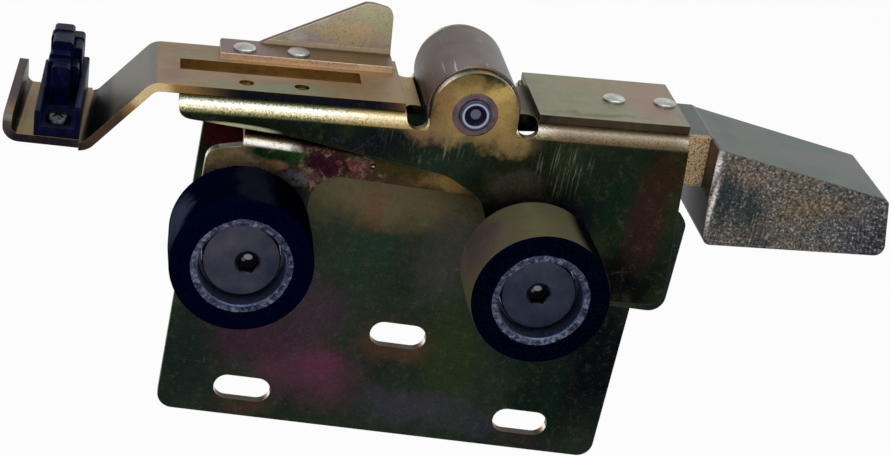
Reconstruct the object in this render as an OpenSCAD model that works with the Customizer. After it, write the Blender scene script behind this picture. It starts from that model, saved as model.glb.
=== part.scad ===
// Lock of a lift's landing door. A folded base carries a rocking lever, which
// is a folded channel with a hook at one end and a contact carrier at the other.
// A coupler on the car's door squeezes the two rollers together: the left one
// is fixed to the base, the right one swings the lever and lifts the hook.
// X runs along the lock towards the hook, Y runs back and Z runs up. The origin
// lies midway between the two lower slots, on the rear face of the base.

/* [Base] */
// Width of the base
base_width = 143; // [138:0.2:148]
// Depth of the folded base, from its front wall to its rear face
base_depth = 33.5; // [32:0.5:36]
// Thickness of the base's sheet
base_sheet = 3; // [2.5:0.5:3.5]
// Outer radius of the base's folds
base_fold_r = 4.5; // [4:0.5:5.5]
// Height of the pivot above the two lower slots
pivot_height = 115.7; // [112:0.1:120]
// Distance of the pivot to the right of the base's middle
pivot_offset = 1; // [0:0.5:2]
// Plate below the middle of the two lower slots
bottom_margin = 9.8; // [8:0.2:12]
// Drop from the pivot's axis to the top of the base
base_drop = 16.5; // [16.2:0.1:17.5]
// Inset of the base's top from its side edges
shoulder_inset = 9.8; // [9.6:0.1:11]
// Corner radius of the shoulders
shoulder_r = 4.5; // [3:0.5:6]
// Fall of the shoulders from the base's top to its side edges
shoulder_fall = 2.6; // [1:0.1:3]
// Corner radius at the ends of the plate and the legs
end_corner_r = 5; // [3:0.5:6]
// Drop from the pivot's axis to the ends of the front wall's legs
leg_drop = 55.3; // [53:0.1:60]
// Width of the front wall's left leg
left_leg_width = 31.2; // [30.4:0.2:34]
// Width of the front wall's right leg
right_leg_width = 28.2; // [26:0.2:29]
// Drop from the pivot's axis to the top of the front wall's window
window_drop = 26.3; // [25.5:0.1:28]
// Corner radius of the front wall's window at its left
window_left_r = 8.6; // [5:0.2:10]
// Corner radius of the front wall's window at its right
window_right_r = 5.8; // [4:0.2:7]
// Radius of the small locating dimple in the front wall
dimple_r = 0.9; // [0.6:0.1:1.2]
// Distance of the locating dimple to the left of the pivot
dimple_reach = 25; // [23:0.5:30]

/* [Fixing slots] */
// Length of a slot
slot_length = 18; // [16:0.5:20]
// Width of a slot
slot_width = 8.5; // [8:0.5:9.5]
// Distance between the two lower slots
slot_spacing = 91; // [86:1:96]
// Height of the middle slot above the lower ones
slot_rise = 25.5; // [22:0.5:30]

/* [Pivot] */
// Radius of the pin
pin_r = 4.15; // [4:0.05:4.5]
// Radius of the pin's rear head
pin_head_r = 7.5; // [7:0.25:9]
// Thickness of the pin's rear head
pin_head = 2.5; // [2:0.25:3]
// Radius of the cup in the pin's front end
pin_cup_r = 3.2; // [2.8:0.1:3.4]
// Radius of the tube that holds the pin
boss_r = 13.5; // [13:0.25:13.75]
// Gap between each end of the tube and the lever
boss_end_gap = 0.2; // [0.15:0.05:0.4]
// Outer radius of the bushes in the lever's ears
bush_r = 6.5; // [6:0.25:7]
// Distance that a bush stands out of its ear on each side
bush_proud = 0.15; // [0.1:0.05:0.15]
// Half the width of the base's ears that hold the tube
saddle_half = 12.8; // [12.5:0.1:13]
// Drop from the pivot's axis to the tips of those ears
saddle_drop = 7.5; // [7:0.25:9]
// Clearance on the radius where one piece turns on another
run_gap = 0.05; // [0.03:0.01:0.08]
// Clearance on the radius where one piece sits in another
seat_gap = 0.02; // [0.01:0.01:0.03]

/* [Lever] */
// Thickness of the lever's sheet
lever_sheet = 3; // [2.5:0.25:3.25]
// Outer radius of the lever's folds
lever_fold_r = 4.5; // [4:0.5:5]
// Gap between the lever's walls and the base, on each side
side_gap = 0.75; // [0.5:0.05:1]
// Drop from the pivot's axis to the top of the lever's web
web_drop = 2.1; // [1.8:0.1:2.4]
// Reach of the lever's left end from the pivot
lever_left = 83; // [80:0.5:85]
// Reach of the lever's right end from the pivot
lever_right = 63.9; // [63:0.1:66]
// Angle at which the lever rests on the base
rest_tilt = 4.085; // [3.5:0.005:4.5]
// Radius of the lever's ears
ear_r = 12.6; // [12:0.1:12.8]
// Half the width of the window that clears the tube
web_window_half = 14.3; // [14.2:0.1:15]
// Width of the relief notches beside the ears
relief_width = 6.2; // [5:0.2:7]
// Reach of the relief notches into the web from the lever's faces
relief_reach = 9.5; // [8:0.5:11]
// Drop from the pivot's axis to the floor of the relief notches
relief_drop = 6; // [5.5:0.25:7]
// Distance from the pivot to the left edge of the front wall's leg
front_leg_left = 9.4; // [8:0.2:11]
// Drop from the pivot's axis to the point where the front wall turns down to its leg
leg_turn_drop = 19.4; // [18:0.2:21]
// Width of that turn
leg_turn_width = 14.6; // [12:0.2:16]
// Drop from the pivot's axis to the end of the front wall's leg
front_leg_drop = 56; // [55:0.5:60]
// Drop from the pivot's axis to the lower edge of the rear wall, below the tube
rear_wall_drop = 19.4; // [18:0.2:19.8]
// Rise of that edge from there to the lever's right end
rear_wall_rise = 3.2; // [3:0.2:6]
// Drop of the walls' lower edges at the lever's left end
left_end_drop = 7.8; // [7.5:0.1:9]

/* [Contact arm] */
// Width of the arm
arm_width = 34; // [32:0.5:35]
// Thickness of the arm and of the hook's cover plate
arm_sheet = 2.5; // [2:0.25:3]
// Distance from the pivot to the arm's right end
arm_start = 19.4; // [18:0.2:21]
// Length of the arm's flat part that stands out beyond the lever's left end
arm_overhang = 5.3; // [4:0.1:7]
// Angle of the arm's sloping part
arm_slope = 48; // [44:1:52]
// Drop from the arm's flat part to its foot
arm_drop = 18.2; // [17:0.2:20]
// Inner radius of the arm's bends
arm_bend_r = 3; // [2.5:0.25:4]
// Angle in the sheet between the arm's two bends, which tilts the foot
arm_skew = 6; // [0:1:8]
// Length of the arm's foot
foot_length = 16.8; // [16:0.2:19]
// Inner radius of the bend at the arm's tip
tip_bend_r = 2; // [1.5:0.25:2.5]
// Height of the arm's turned-up tip above its foot, at the middle of the tip
tip_height = 6.5; // [5:0.1:8]
// Extra height of the tip at its rear end, which its front end lacks
tip_slant = 1.5; // [0:0.1:2]
// Length of the arm's slot
arm_slot_length = 51.9; // [48:0.5:53]
// Width of the arm's slot
arm_slot_width = 8.7; // [7:0.1:10]
// Distance from the arm's right end to its slot
arm_slot_margin = 11.7; // [10:0.1:14]
// Radius of the two weld dimples in the arm
weld_r = 2.15; // [1.8:0.05:2.5]
// Depth of the two weld dimples
weld_depth = 1.2; // [0.8:0.1:1.6]

/* [Fin bracket] */
// Thickness of the bracket
fin_sheet = 2; // [1.5:0.25:2.5]
// Length of the bracket
fin_length = 50.5; // [48:0.5:51]
// Distance from the pivot to the bracket's right end
fin_start = 21; // [20:0.2:23]
// Depth of the bracket's foot
fin_foot = 12.7; // [12:0.1:14]
// Height of the fin above the bracket's foot
fin_height = 15.1; // [13:0.1:18]
// Length of the fin at its foot
fin_base = 38; // [36:0.5:42]
// Length of the fin's top edge
fin_top = 6.5; // [5:0.5:9]

/* [Rivets] */
// Radius of the rivets' heads
rivet_head_r = 3.4; // [3.1:0.1:3.8]
// Height of the rivets' heads
rivet_head = 1.4; // [1:0.1:1.8]
// Radius of the rivets' shanks
rivet_r = 2.3; // [2:0.1:2.6]
// Distance from the pivot to the nearer arm rivet
arm_rivet_reach = 48.7; // [47:0.1:50]
// Distance between the two arm rivets, and between the weld dimples
arm_rivet_spacing = 15.7; // [14:0.1:18]
// Distance of the arm rivets and weld dimples from the lever's middle
arm_rivet_side = 11; // [10.4:0.1:12]
// Distance from the pivot to the nearer hook rivet
hook_rivet_reach = 44.4; // [43:0.1:46]
// Distance between the two hook rivets
hook_rivet_spacing = 15.5; // [14:0.1:16]

/* [Hook] */
// Distance from the pivot to the left end of the cover plate
cover_start = 19.3; // [18:0.1:22]
// Distance from the pivot to the left end of the hook's shank
shank_start = 35; // [32:0.5:38]
// Width of the shank
shank_width = 25; // [22:0.5:27]
// Distance from the pivot to the hook's catch face
catch_reach = 73.2; // [72.5:0.1:76]
// Length of the hook's head
head_length = 57.9; // [52:0.1:62]
// Width of the hook's head
head_width = 34.2; // [32:0.1:36]
// Distance of the head's middle in front of the lever's middle
head_shift = 0.8; // [0:0.1:1]
// Drop from the pivot's axis to the underside of the head
head_drop = 36.2; // [34:0.2:40]
// Slope of the head's top
head_slope = 12.2; // [10:0.1:14]
// Gap that stays between the shank and the base at rest
rest_gap = 0.05; // [0.03:0.01:0.08]

/* [Contact carrier] */
// Width of the carrier's foot
carrier_width = 12.6; // [12.4:0.1:13]
// Depth of the carrier's foot
carrier_depth = 33.7; // [32:0.1:35]
// Thickness of the carrier's foot
carrier_foot = 3; // [2.5:0.25:3.5]
// Height of the carrier's tallest step
carrier_height = 19.9; // [19:0.1:22]
// Gap between the carrier and the arm's bend
carrier_gap = 0.1; // [0:0.1:0.6]
// Turn of the carrier on the foot, which brings its rear end to the left
carrier_turn = 2.2; // [0:0.2:3]
// Thickness of the brass bridge
bridge_sheet = 0.8; // [0.6:0.1:1]
// Radius of the carrier's screw
screw_r = 2; // [1.75:0.25:2.25]
// Radius of the screw's head
screw_head_r = 3.5; // [3:0.1:3.8]
// Distance of the screw in front of the carrier's middle
screw_side = 12; // [11:0.1:12.5]

/* [Rollers] */
// Outer radius of the tyres
tyre_r = 20.25; // [19:0.25:20.5]
// Width of the tyres
tyre_width = 24.4; // [23.5:0.1:26]
// Outer radius of the hubs
hub_r = 14.5; // [14:0.25:15]
// Gap between the rollers and the lever's front face
roller_gap = 2.1; // [1.8:0.1:3]
// Drop from the pivot's axis to the rollers' axes
roller_drop = 44.05; // [43:0.05:45]
// Distance of the left roller's axis to the left of the pivot
left_roller_reach = 60.1; // [58:0.1:62]
// Distance of the right roller's axis to the right of the pivot
right_roller_reach = 21.6; // [20:0.1:23]
// Distance between the left bolt's journal and its thread
eccentric = 1.9; // [1:0.1:1.9]
// Direction of that offset, from the journal to the thread
eccentric_angle = -19; // [-30:1:30]

/* [Bearings] */
// Bore radius of the ball bearings
bearing_bore_r = 6; // [5.75:0.05:6.25]
// Outer radius of the ball bearings
bearing_r = 12; // [11.75:0.05:12.25]
// Width of one ball bearing
bearing_width = 6; // [5.5:0.25:6.5]
// Gap between the two bearings of a roller
bearing_gap = 0.04; // [0.02:0.01:0.1]
// Balls in one bearing
ball_count = 8; // [7:1:9]
// Radius of a ball
ball_r = 1.9; // [1.7:0.05:2]
// Distance from a roller's rear face to its bearings
bearing_setback = 3.6; // [3:0.1:4]
// Thickness of the ring that keeps the bearings in
snap_ring = 1; // [0.8:0.1:1.2]

/* [Roller bolts] */
// Radius of a bolt's head
bolt_head_r = 10.8; // [10:0.1:10.9]
// Thickness of a bolt's head
bolt_head = 3.5; // [3:0.1:4]
// Height of the collar under a bolt's head
bolt_collar = 1.2; // [1:0.1:1.5]
// Outer radius of the collars, spacers and washers
collar_r = 7.5; // [7.2:0.1:8]
// Radius of a bolt's thread
thread_r = 4; // [3.75:0.05:4.1]
// Width across the flats of a bolt's socket
socket_flats = 6; // [5:0.5:6.5]
// Width across the flats of a nut
nut_flats = 13; // [12.5:0.5:14]
// Height of a nut
nut_height = 6.5; // [6:0.1:7]
// Thickness of a washer
washer_height = 1.6; // [1.4:0.1:2]

/* [View] */
// Which piece to draw

/* [Hidden] */
$fn = 64;

// Small amount by which a cut runs past the face that it opens
past = 1;
// Cuts and sections that cross the whole lock run this far
across = 200;

// The base and the lever share one middle plane, and Y is measured from it
base_half = base_depth / 2;
lever_half = base_half + side_gap + lever_sheet;
base_left = -base_width / 2 - pivot_offset;
base_right = base_width / 2 - pivot_offset;
base_bottom = -pivot_height - bottom_margin;
top_left = base_left + shoulder_inset;
top_right = base_right - shoulder_inset;
shoulder_z = -base_drop - base_fold_r;

// Heights on the lever
web_top = -web_drop;
web_bottom = web_top - lever_sheet;
arm_top = web_top + arm_sheet;
fin_top_z = arm_top + fin_sheet;
arm_half = arm_width / 2;

// The arm's bends: its drop fixes the length of the sloping part
arm_flat = lever_left + arm_overhang - arm_start;
arm_bend_out = arm_bend_r + arm_sheet;
slope_length = (arm_drop - (arm_bend_r + arm_bend_out) * (1 - cos(arm_slope))) / sin(arm_slope);
foot_half = arm_half / cos(arm_skew);
carrier_x = -carrier_gap - carrier_width / 2;

// The shank's underside lies along the base's top when the lever rests
function rest_z(x) = (-base_drop + rest_gap - sin(rest_tilt) * x) / cos(rest_tilt);

head_front = -head_shift - head_width / 2;
head_rear = head_front + head_width;

// Rollers: heights are measured forward from a tyre's rear face
roller_back = lever_half + roller_gap;
left_wall = roller_back - base_half;
bearing_top = bearing_setback + 2 * bearing_width;
head_under = bearing_top + bolt_collar;
ball_ring_r = (bearing_bore_r + bearing_r) / 2;
race_in_r = ball_ring_r - 0.75 * ball_r;
race_out_r = ball_ring_r + 0.75 * ball_r;
groove_r = ball_r + run_gap;
thread_shift = eccentric * [cos(eccentric_angle), sin(eccentric_angle)];

// Rounded outlines: each point is [x, z] or [x, z, corner radius]
function unit(v) = v / norm(v);

function corner(before, p, after, r, steps) =
    r <= 0 ? [p] :
    let (
        u = unit(before - p),
        v = unit(after - p),
        half = acos(u * v) / 2,
        centre = p + unit(u + v) * r / sin(half),
        from = p + u * r / tan(half) - centre,
        start = atan2(from.y, from.x),
        turn = (180 - 2 * half) * sign(cross(p - before, after - p))
    )
    [for (i = [0 : steps]) let (a = start + turn * i / steps) centre + r * [cos(a), sin(a)]];

function outline(points, steps = 8) =
    let (n = len(points))
    [for (i = [0 : n - 1])
        let (p = points[i], q = points[(i + n - 1) % n], s = points[(i + 1) % n])
        each corner([q.x, q.y], [p.x, p.y], [s.x, s.y], len(p) > 2 ? p.z : 0, steps)];

// Frames: the pivot's frame on the base, and the lever's frame, tilted as it rests
module on_pivot() {
    translate([pivot_offset, -base_half, pivot_height]) children();
}

module on_lever() {
    on_pivot() rotate([0, -rest_tilt, 0]) children();
}

// The arm's frames: the middle of its sloping part, the same turned by the skew,
// and the end of its second bend
module on_slope() {
    on_lever()
    translate([
        -lever_left - arm_overhang - arm_bend_r * sin(arm_slope) - slope_length / 2 * cos(arm_slope),
        0,
        web_top - arm_bend_r * (1 - cos(arm_slope)) - slope_length / 2 * sin(arm_slope)
    ])
    rotate([0, -arm_slope, 0])
    children();
}

module skewed() {
    rotate([0, 0, -arm_skew]) children();
}

module on_foot() {
    on_slope()
    skewed()
    translate([
        -slope_length / 2 - arm_bend_r * sin(arm_slope),
        0,
        arm_sheet + arm_bend_r * (1 - cos(arm_slope))
    ])
    rotate([0, arm_slope, 0])
    children();
}

// Extrusions of a flat shape: seen from the front, seen from the right, and seen from above
module along_y(y0, y1) {
    translate([0, y1, 0]) rotate([90, 0, 0]) linear_extrude(y1 - y0) children();
}

module along_x(x0, x1) {
    translate([x0, 0, 0]) rotate([90, 0, 90]) linear_extrude(x1 - x0) children();
}

module along_z(z0, z1) {
    translate([0, 0, z0]) linear_extrude(z1 - z0) children();
}

// A turned piece about the Y axis: its profile is [radius, y]
module turned() {
    rotate([-90, 0, 0]) rotate_extrude() children();
}

module both_sides() {
    children();
    mirror([0, 1, 0]) children();
}

// Block with round top edges along X, and the folded section that it gives
module rounded_block(half, top, bottom, r) {
    translate([-half, bottom]) square([2 * half, top - r - bottom]);
    translate([r - half, bottom]) square([2 * (half - r), top - bottom]);
    for (side = [-1, 1])
        translate([side * (half - r), top - r]) circle(r);
}

module folded_section(half, top, sheet, r) {
    difference() {
        rounded_block(half, top, -across, r);
        rounded_block(half - sheet, top - sheet, -across - past, r - sheet);
    }
}

module slot_shape(length, width) {
    square([length - width, width], center = true);
    for (side = [-1, 1])
        translate([side * (length - width) / 2, 0]) circle(width / 2);
}

// A strip bent up and down: steps are [straight length, angle of the bend, inner radius].
// One edge of its outline lies at level 0, the other at the sheet's thickness.
bend_steps = 10;

function normal(heading) = [-sin(heading), cos(heading)];

function strip_edge(steps, sheet, level, i = 0, p = [0, 0], heading = 0) =
    i == len(steps) ? [] :
    let (
        turn = steps[i][1],
        inner = steps[i][2],
        q = p + steps[i][0] * [cos(heading), sin(heading)],
        offset = turn > 0 ? -sheet - inner : inner,
        centre = q - offset * normal(heading),
        arc = turn == 0
            ? [q + level * normal(heading)]
            : [for (k = [0 : bend_steps])
                centre + (offset + level) * normal(heading + turn * k / bend_steps)],
        next = centre + offset * normal(heading + turn)
    )
    concat(
        i == 0 ? [p + level * normal(heading)] : [],
        arc,
        strip_edge(steps, sheet, level, i + 1, next, heading + turn)
    );

module folded_strip(steps, sheet) {
    upper = strip_edge(steps, sheet, sheet);
    polygon(concat(
        strip_edge(steps, sheet, 0),
        [for (i = [len(upper) - 1 : -1 : 0]) upper[i]]
    ));
}

// Base: one sheet with a tall rear plate, a top and a front wall with two legs
module base_front_outline() {
    window_left = base_left + left_leg_width;
    window_right = base_right - right_leg_width;
    polygon(outline([
        [base_left, -leg_drop, end_corner_r],
        [window_left, -leg_drop, end_corner_r],
        [window_left, -window_drop, window_left_r],
        [window_right, -window_drop, window_right_r],
        [window_right, -leg_drop, end_corner_r],
        [base_right, -leg_drop, end_corner_r],
        [base_right, shoulder_z - shoulder_fall, shoulder_r],
        [top_right, shoulder_z],
        [top_right, 0],
        [top_left, 0],
        [top_left, shoulder_z],
        [base_left, shoulder_z - shoulder_fall, shoulder_r]
    ]));
}

module base_rear_outline() {
    polygon(outline([
        [base_left, base_bottom, end_corner_r],
        [base_right, base_bottom, end_corner_r],
        [base_right, shoulder_z - shoulder_fall, shoulder_r],
        [top_right, shoulder_z],
        [top_right, 0],
        [top_left, 0],
        [top_left, shoulder_z],
        [base_left, shoulder_z - shoulder_fall, shoulder_r]
    ]));
}

// Ears of the base: the walls run straight up beside two reliefs in the top
saddle_relief = 4;
saddle_step = 1.5;
saddle_window_y = 5.5;
saddle_window_r = 2;

module saddle_window() {
    half = saddle_half + saddle_relief;
    along_z(shoulder_z + saddle_step, 0)
        polygon(outline([
            [-half, saddle_window_y, saddle_window_r],
            [half, saddle_window_y, saddle_window_r],
            [half, base_half + past],
            [-half, base_half + past]
        ]));
}

module saddle_ear() {
    along_y(base_half - base_sheet, base_half)
        difference() {
            translate([-saddle_half, shoulder_z - past])
                square([2 * saddle_half, past - shoulder_z - saddle_drop]);
            circle(boss_r + seat_gap);
        }
}

module base_plate() {
    slot_x = pivot_offset;
    dimple_z = -(base_drop + base_fold_r + window_drop) / 2 + 2;
    color([0.24, 0.26, 0.15])
    on_pivot()
    difference() {
        union() {
            difference() {
                intersection() {
                    along_x(-across, across) folded_section(base_half, -base_drop, base_sheet, base_fold_r);
                    union() {
                        along_y(-base_half - past, 0) base_front_outline();
                        along_y(0, base_half + past) base_rear_outline();
                    }
                }
                both_sides() saddle_window();
            }
            both_sides() saddle_ear();
        }
        along_y(base_half - base_sheet - past, base_half + past)
            translate([-slot_x, -pivot_height]) {
                for (side = [-1, 1])
                    translate([side * slot_spacing / 2, 0]) slot_shape(slot_length, slot_width);
                translate([0, slot_rise]) slot_shape(slot_length, slot_width);
            }
        along_y(-base_half - past, past - base_half + base_sheet)
            translate([-left_roller_reach, -roller_drop] + thread_shift) circle(thread_r + 0.2);
        translate([-dimple_reach, -base_half, dimple_z]) sphere(dimple_r);
    }
}

// Pivot: a tube in the base's ears, a pin through it and a bush in each ear of the lever
module pivot_boss() {
    half = lever_half - lever_sheet - boss_end_gap;
    color([0.30, 0.22, 0.25])
    on_pivot()
    turned()
        polygon([
            [pin_r + seat_gap, -half], [boss_r - 0.4, -half], [boss_r, 0.4 - half],
            [boss_r, half - 0.4], [boss_r - 0.4, half], [pin_r + seat_gap, half]
        ]);
}

module pivot_pin() {
    bush_end = lever_half + bush_proud;
    lip = bush_end + 0.1;
    tip = lip + 0.65;
    head = bush_end + 0.05;
    color([0.45, 0.43, 0.48])
    on_pivot()
    turned()
        polygon([
            [0, 1.5 - tip], [pin_cup_r - 0.4, 1.5 - tip], [pin_cup_r, -tip],
            [pin_r + 0.2, -tip], [pin_r + 0.45, 0.25 - tip], [pin_r + 0.45, -lip], [pin_r, -lip],
            [pin_r, head], [pin_head_r, head], [pin_head_r, head + pin_head - 0.6],
            [pin_head_r - 0.8, head + pin_head], [0, head + pin_head]
        ]);
}

module ear_bush() {
    color([0.62, 0.62, 0.68])
    on_lever()
    turned()
        polygon([
            [pin_r + run_gap, lever_half - lever_sheet - bush_proud / 2],
            [bush_r, lever_half - lever_sheet - bush_proud / 2],
            [bush_r, lever_half], [bush_r - 0.3, lever_half + bush_proud],
            [pin_r + run_gap, lever_half + bush_proud]
        ]);
}

module ear_bush_rear() {
    ear_bush();
}

module ear_bush_front() {
    translate([0, -base_depth, 0]) mirror([0, 1, 0]) ear_bush();
}

// Lever: a channel that straddles the base, with a deep front leg for its roller
left_end_r = 3.5;
left_taper = 3.4;
sweep_r = 60;

module lever_front_outline() {
    turn_left = front_leg_left - leg_turn_width;
    turn_right = front_leg_left - 0.3 * leg_turn_width;
    polygon(outline([
        [-lever_left, 0],
        [-lever_left, -left_end_drop, left_end_r],
        [-0.6 * lever_left, -left_end_drop - left_taper, sweep_r],
        [turn_left, -leg_turn_drop, leg_turn_width],
        [turn_right, -leg_turn_drop - 0.43 * leg_turn_width, leg_turn_width / 2],
        [front_leg_left, -leg_turn_drop - 1.2 * leg_turn_width, leg_turn_width / 2],
        [front_leg_left, -front_leg_drop, 12],
        [lever_right + 1.1, -front_leg_drop, 4.5],
        [lever_right - 0.3, 0]
    ]));
}

module lever_rear_outline() {
    polygon(outline([
        [-lever_left, 0],
        [-lever_left, -left_end_drop, left_end_r],
        [-0.48 * lever_left, -left_end_drop - left_taper / 3, sweep_r / 2],
        [-0.18 * lever_left, -rear_wall_drop, 15],
        [boss_r, -rear_wall_drop, 15],
        [lever_right, rear_wall_rise - rear_wall_drop, 4],
        [lever_right, 0]
    ]));
}

// Relief beside an ear: a round-bottomed notch in the wall that runs on into the web
module relief_cut() {
    x = ear_r + 0.2 + relief_width / 2;
    wall = lever_half - lever_sheet;
    for (side = [-1, 1])
        translate([side * x, 0, 0]) {
            along_y(wall - past / 10, lever_half + past) {
                translate([0, relief_width / 2 - relief_drop]) circle(relief_width / 2);
                translate([-relief_width / 2, relief_width / 2 - relief_drop])
                    square([relief_width, relief_drop]);
            }
            along_z(web_bottom - lever_fold_r, past) {
                translate([0, lever_half - relief_reach + relief_width / 2]) circle(relief_width / 2);
                translate([-relief_width / 2, lever_half - relief_reach + relief_width / 2])
                    square([relief_width, relief_reach - relief_width / 2 - lever_sheet]);
            }
        }
}

// Space around an ear where the fold is left out
module ear_gap() {
    translate([-ear_r - 0.2 - relief_width / 2, lever_half - lever_fold_r - past, relief_width / 2 - relief_drop])
        cube([2 * ear_r + 0.4 + relief_width, lever_fold_r + 2 * past, relief_drop]);
}

module lever_ear() {
    along_y(lever_half - lever_sheet, lever_half) {
        circle(ear_r);
        translate([-ear_r, -relief_drop - past]) square([2 * ear_r, relief_drop + past]);
    }
}

module rivet_holes(reach, spacing, side) {
    along_z(web_bottom - past, past)
        for (x = [reach, reach + spacing])
            translate([x, side]) circle(rivet_r + seat_gap);
}

module lever_channel() {
    color([0.30, 0.29, 0.14])
    on_lever()
    difference() {
        union() {
            difference() {
                intersection() {
                    along_x(-across, across)
                        folded_section(lever_half, web_top, lever_sheet, lever_fold_r);
                    union() {
                        along_y(-lever_half - past, 0) lever_front_outline();
                        along_y(0, lever_half + past) lever_rear_outline();
                    }
                }
                both_sides() {
                    relief_cut();
                    ear_gap();
                }
                translate([-web_window_half, past / 10 - lever_half + lever_sheet, web_bottom - lever_fold_r])
                    cube([2 * web_window_half, 2 * (lever_half - lever_sheet) - past / 5, across]);
            }
            both_sides() lever_ear();
        }
        along_y(-lever_half - past, lever_half + past) circle(bush_r + seat_gap);
        along_y(-lever_half - past, past - lever_half + lever_sheet)
            translate([right_roller_reach, -roller_drop]) circle(thread_r + 0.2);
        mirror([1, 0, 0]) rivet_holes(arm_rivet_reach, arm_rivet_spacing, arm_rivet_side);
        rivet_holes(hook_rivet_reach, hook_rivet_spacing, 0);
    }
}

// Contact arm: a strip that steps down beyond the lever to the carrier's foot
skew_overlap = slope_length / 3;
arm_steps = [[slope_length / 2, -arm_slope, arm_bend_r], [arm_flat, 0, 0]];
foot_steps = [
    [slope_length / 2 + skew_overlap, arm_slope, arm_bend_r],
    [foot_length, 90, tip_bend_r],
    [2 * tip_height, 0, 0]
];

module arm_start_part() {
    on_slope()
    along_y(-arm_half, arm_half)
    folded_strip(arm_steps, arm_sheet);
}

module arm_foot_part() {
    on_slope()
    skewed()
    mirror([1, 0, 0])
    along_y(-across, across)
    translate([-skew_overlap, 0])
    folded_strip(foot_steps, arm_sheet);
}

module foot_outline() {
    polygon(outline([
        [-foot_half, -across], [foot_half, -across],
        [foot_half, tip_height + tip_slant, 2], [-foot_half, tip_height - tip_slant, 3]
    ]));
}

module contact_arm() {
    color([0.48, 0.48, 0.42])
    difference() {
        union() {
            arm_start_part();
            intersection() {
                arm_foot_part();
                union() {
                    intersection() {
                        on_lever() translate([-across, -arm_half, -across]) cube([across, arm_width, 2 * across]);
                        on_foot() translate([0, -across, -across]) cube(2 * across);
                    }
                    on_foot() along_x(-across, 0) foot_outline();
                }
            }
        }
        on_lever() {
            translate([-arm_start - arm_slot_margin - arm_slot_length, -arm_slot_width / 2, web_top - past])
                cube([arm_slot_length, arm_slot_width, arm_sheet + 2 * past]);
            for (x = [arm_rivet_reach, arm_rivet_reach + arm_rivet_spacing])
                translate([-x, -arm_rivet_side, arm_top - weld_depth]) cylinder(h = across, r = weld_r);
            mirror([1, 0, 0]) rivet_holes(arm_rivet_reach, arm_rivet_spacing, arm_rivet_side);
        }
        on_carrier()
            translate([0, -screw_side, -arm_sheet - past])
            cylinder(h = arm_sheet + 2 * past, r = screw_r + seat_gap);
    }
}

// Cover plate over the hook's end of the lever
module hook_plate() {
    color([0.50, 0.48, 0.42])
    on_lever()
    difference() {
        along_z(web_top, arm_top)
            translate([cover_start, -arm_half]) square([lever_right - cover_start, arm_width]);
        rivet_holes(hook_rivet_reach, hook_rivet_spacing, 0);
    }
}

// Fin bracket: an angle whose upright leg is a tapering fin
module fin_bracket() {
    rear = arm_half + fin_sheet;
    fin_r = 2 * fin_sheet - 0.5;
    left = -fin_start - fin_length;
    top = fin_top_z + fin_height;
    color([0.55, 0.48, 0.46])
    on_lever()
    difference() {
        intersection() {
            along_x(left, -fin_start)
                translate([rear - fin_foot, arm_top])
                folded_strip([[fin_foot - fin_r, 90, fin_r - fin_sheet], [fin_height, 0, 0]], fin_sheet);
            union() {
                along_y(-across, rear - fin_r)
                    translate([left, arm_top]) square([fin_length, fin_height]);
                along_y(rear - fin_r, rear)
                    polygon(outline([
                        [-fin_start, arm_top],
                        [-fin_start - 0.6, top - 1.3, 3],
                        [-fin_start - fin_top, top, 3],
                        [-fin_start - fin_top - 2.5, top, 2],
                        [-fin_start - fin_base - 1, fin_top_z],
                        [left, fin_top_z, 0.8],
                        [left, arm_top]
                    ]));
            }
        }
        along_z(arm_top - past, fin_top_z + past)
            for (x = [arm_rivet_reach, arm_rivet_reach + arm_rivet_spacing])
                translate([-x, arm_rivet_side]) circle(rivet_r + seat_gap);
    }
}

// Rivets: a domed head and a straight shank that ends flush
module rivet(under) {
    rotate_extrude()
        polygon(concat(
            [[0, under], [rivet_r, under], [rivet_r, 0], [rivet_head_r, 0]],
            [for (a = [10 : 16 : 90]) [rivet_head_r * cos(a), rivet_head * (0.25 + 0.75 * sin(a))]]
        ));
}

module arm_rivets() {
    color([0.72, 0.70, 0.66])
    on_lever()
    for (x = [arm_rivet_reach, arm_rivet_reach + arm_rivet_spacing])
        translate([-x, arm_rivet_side, fin_top_z]) rivet(web_bottom - fin_top_z);
}

module hook_rivets() {
    color([0.74, 0.72, 0.70])
    on_lever()
    for (x = [hook_rivet_reach, hook_rivet_reach + hook_rivet_spacing])
        translate([x, 0, arm_top]) rivet(rest_z(x - rivet_r) - arm_top);
}

// Hook: a shank between the lever and the base, and a solid head beyond them
module hook_block() {
    head_end = catch_reach + head_length;
    nose_z = web_bottom - 0.4 - tan(head_slope) * (head_length - 2.6);
    color([0.38, 0.34, 0.28])
    on_lever()
    difference() {
        union() {
            along_y(head_rear - shank_width, head_rear)
                polygon([
                    [shank_start, web_bottom],
                    [shank_start, rest_z(shank_start)],
                    [catch_reach, rest_z(catch_reach)],
                    [catch_reach + 8, rest_z(catch_reach)],
                    [catch_reach + 8, web_bottom - 4],
                    [catch_reach, web_bottom]
                ]);
            along_y(head_front, head_rear)
                polygon(outline([
                    [catch_reach + 0.2, web_bottom - 0.4, 0.8],
                    [catch_reach, rest_z(catch_reach)],
                    [catch_reach + 0.9, -head_drop, 2.5],
                    [head_end, 0.5 - head_drop, 3],
                    [head_end - 2.6, nose_z, 2]
                ]));
        }
        along_z(-head_drop, past)
            for (x = [hook_rivet_reach, hook_rivet_reach + hook_rivet_spacing])
                translate([x, 0]) circle(rivet_r + seat_gap);
    }
}

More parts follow.
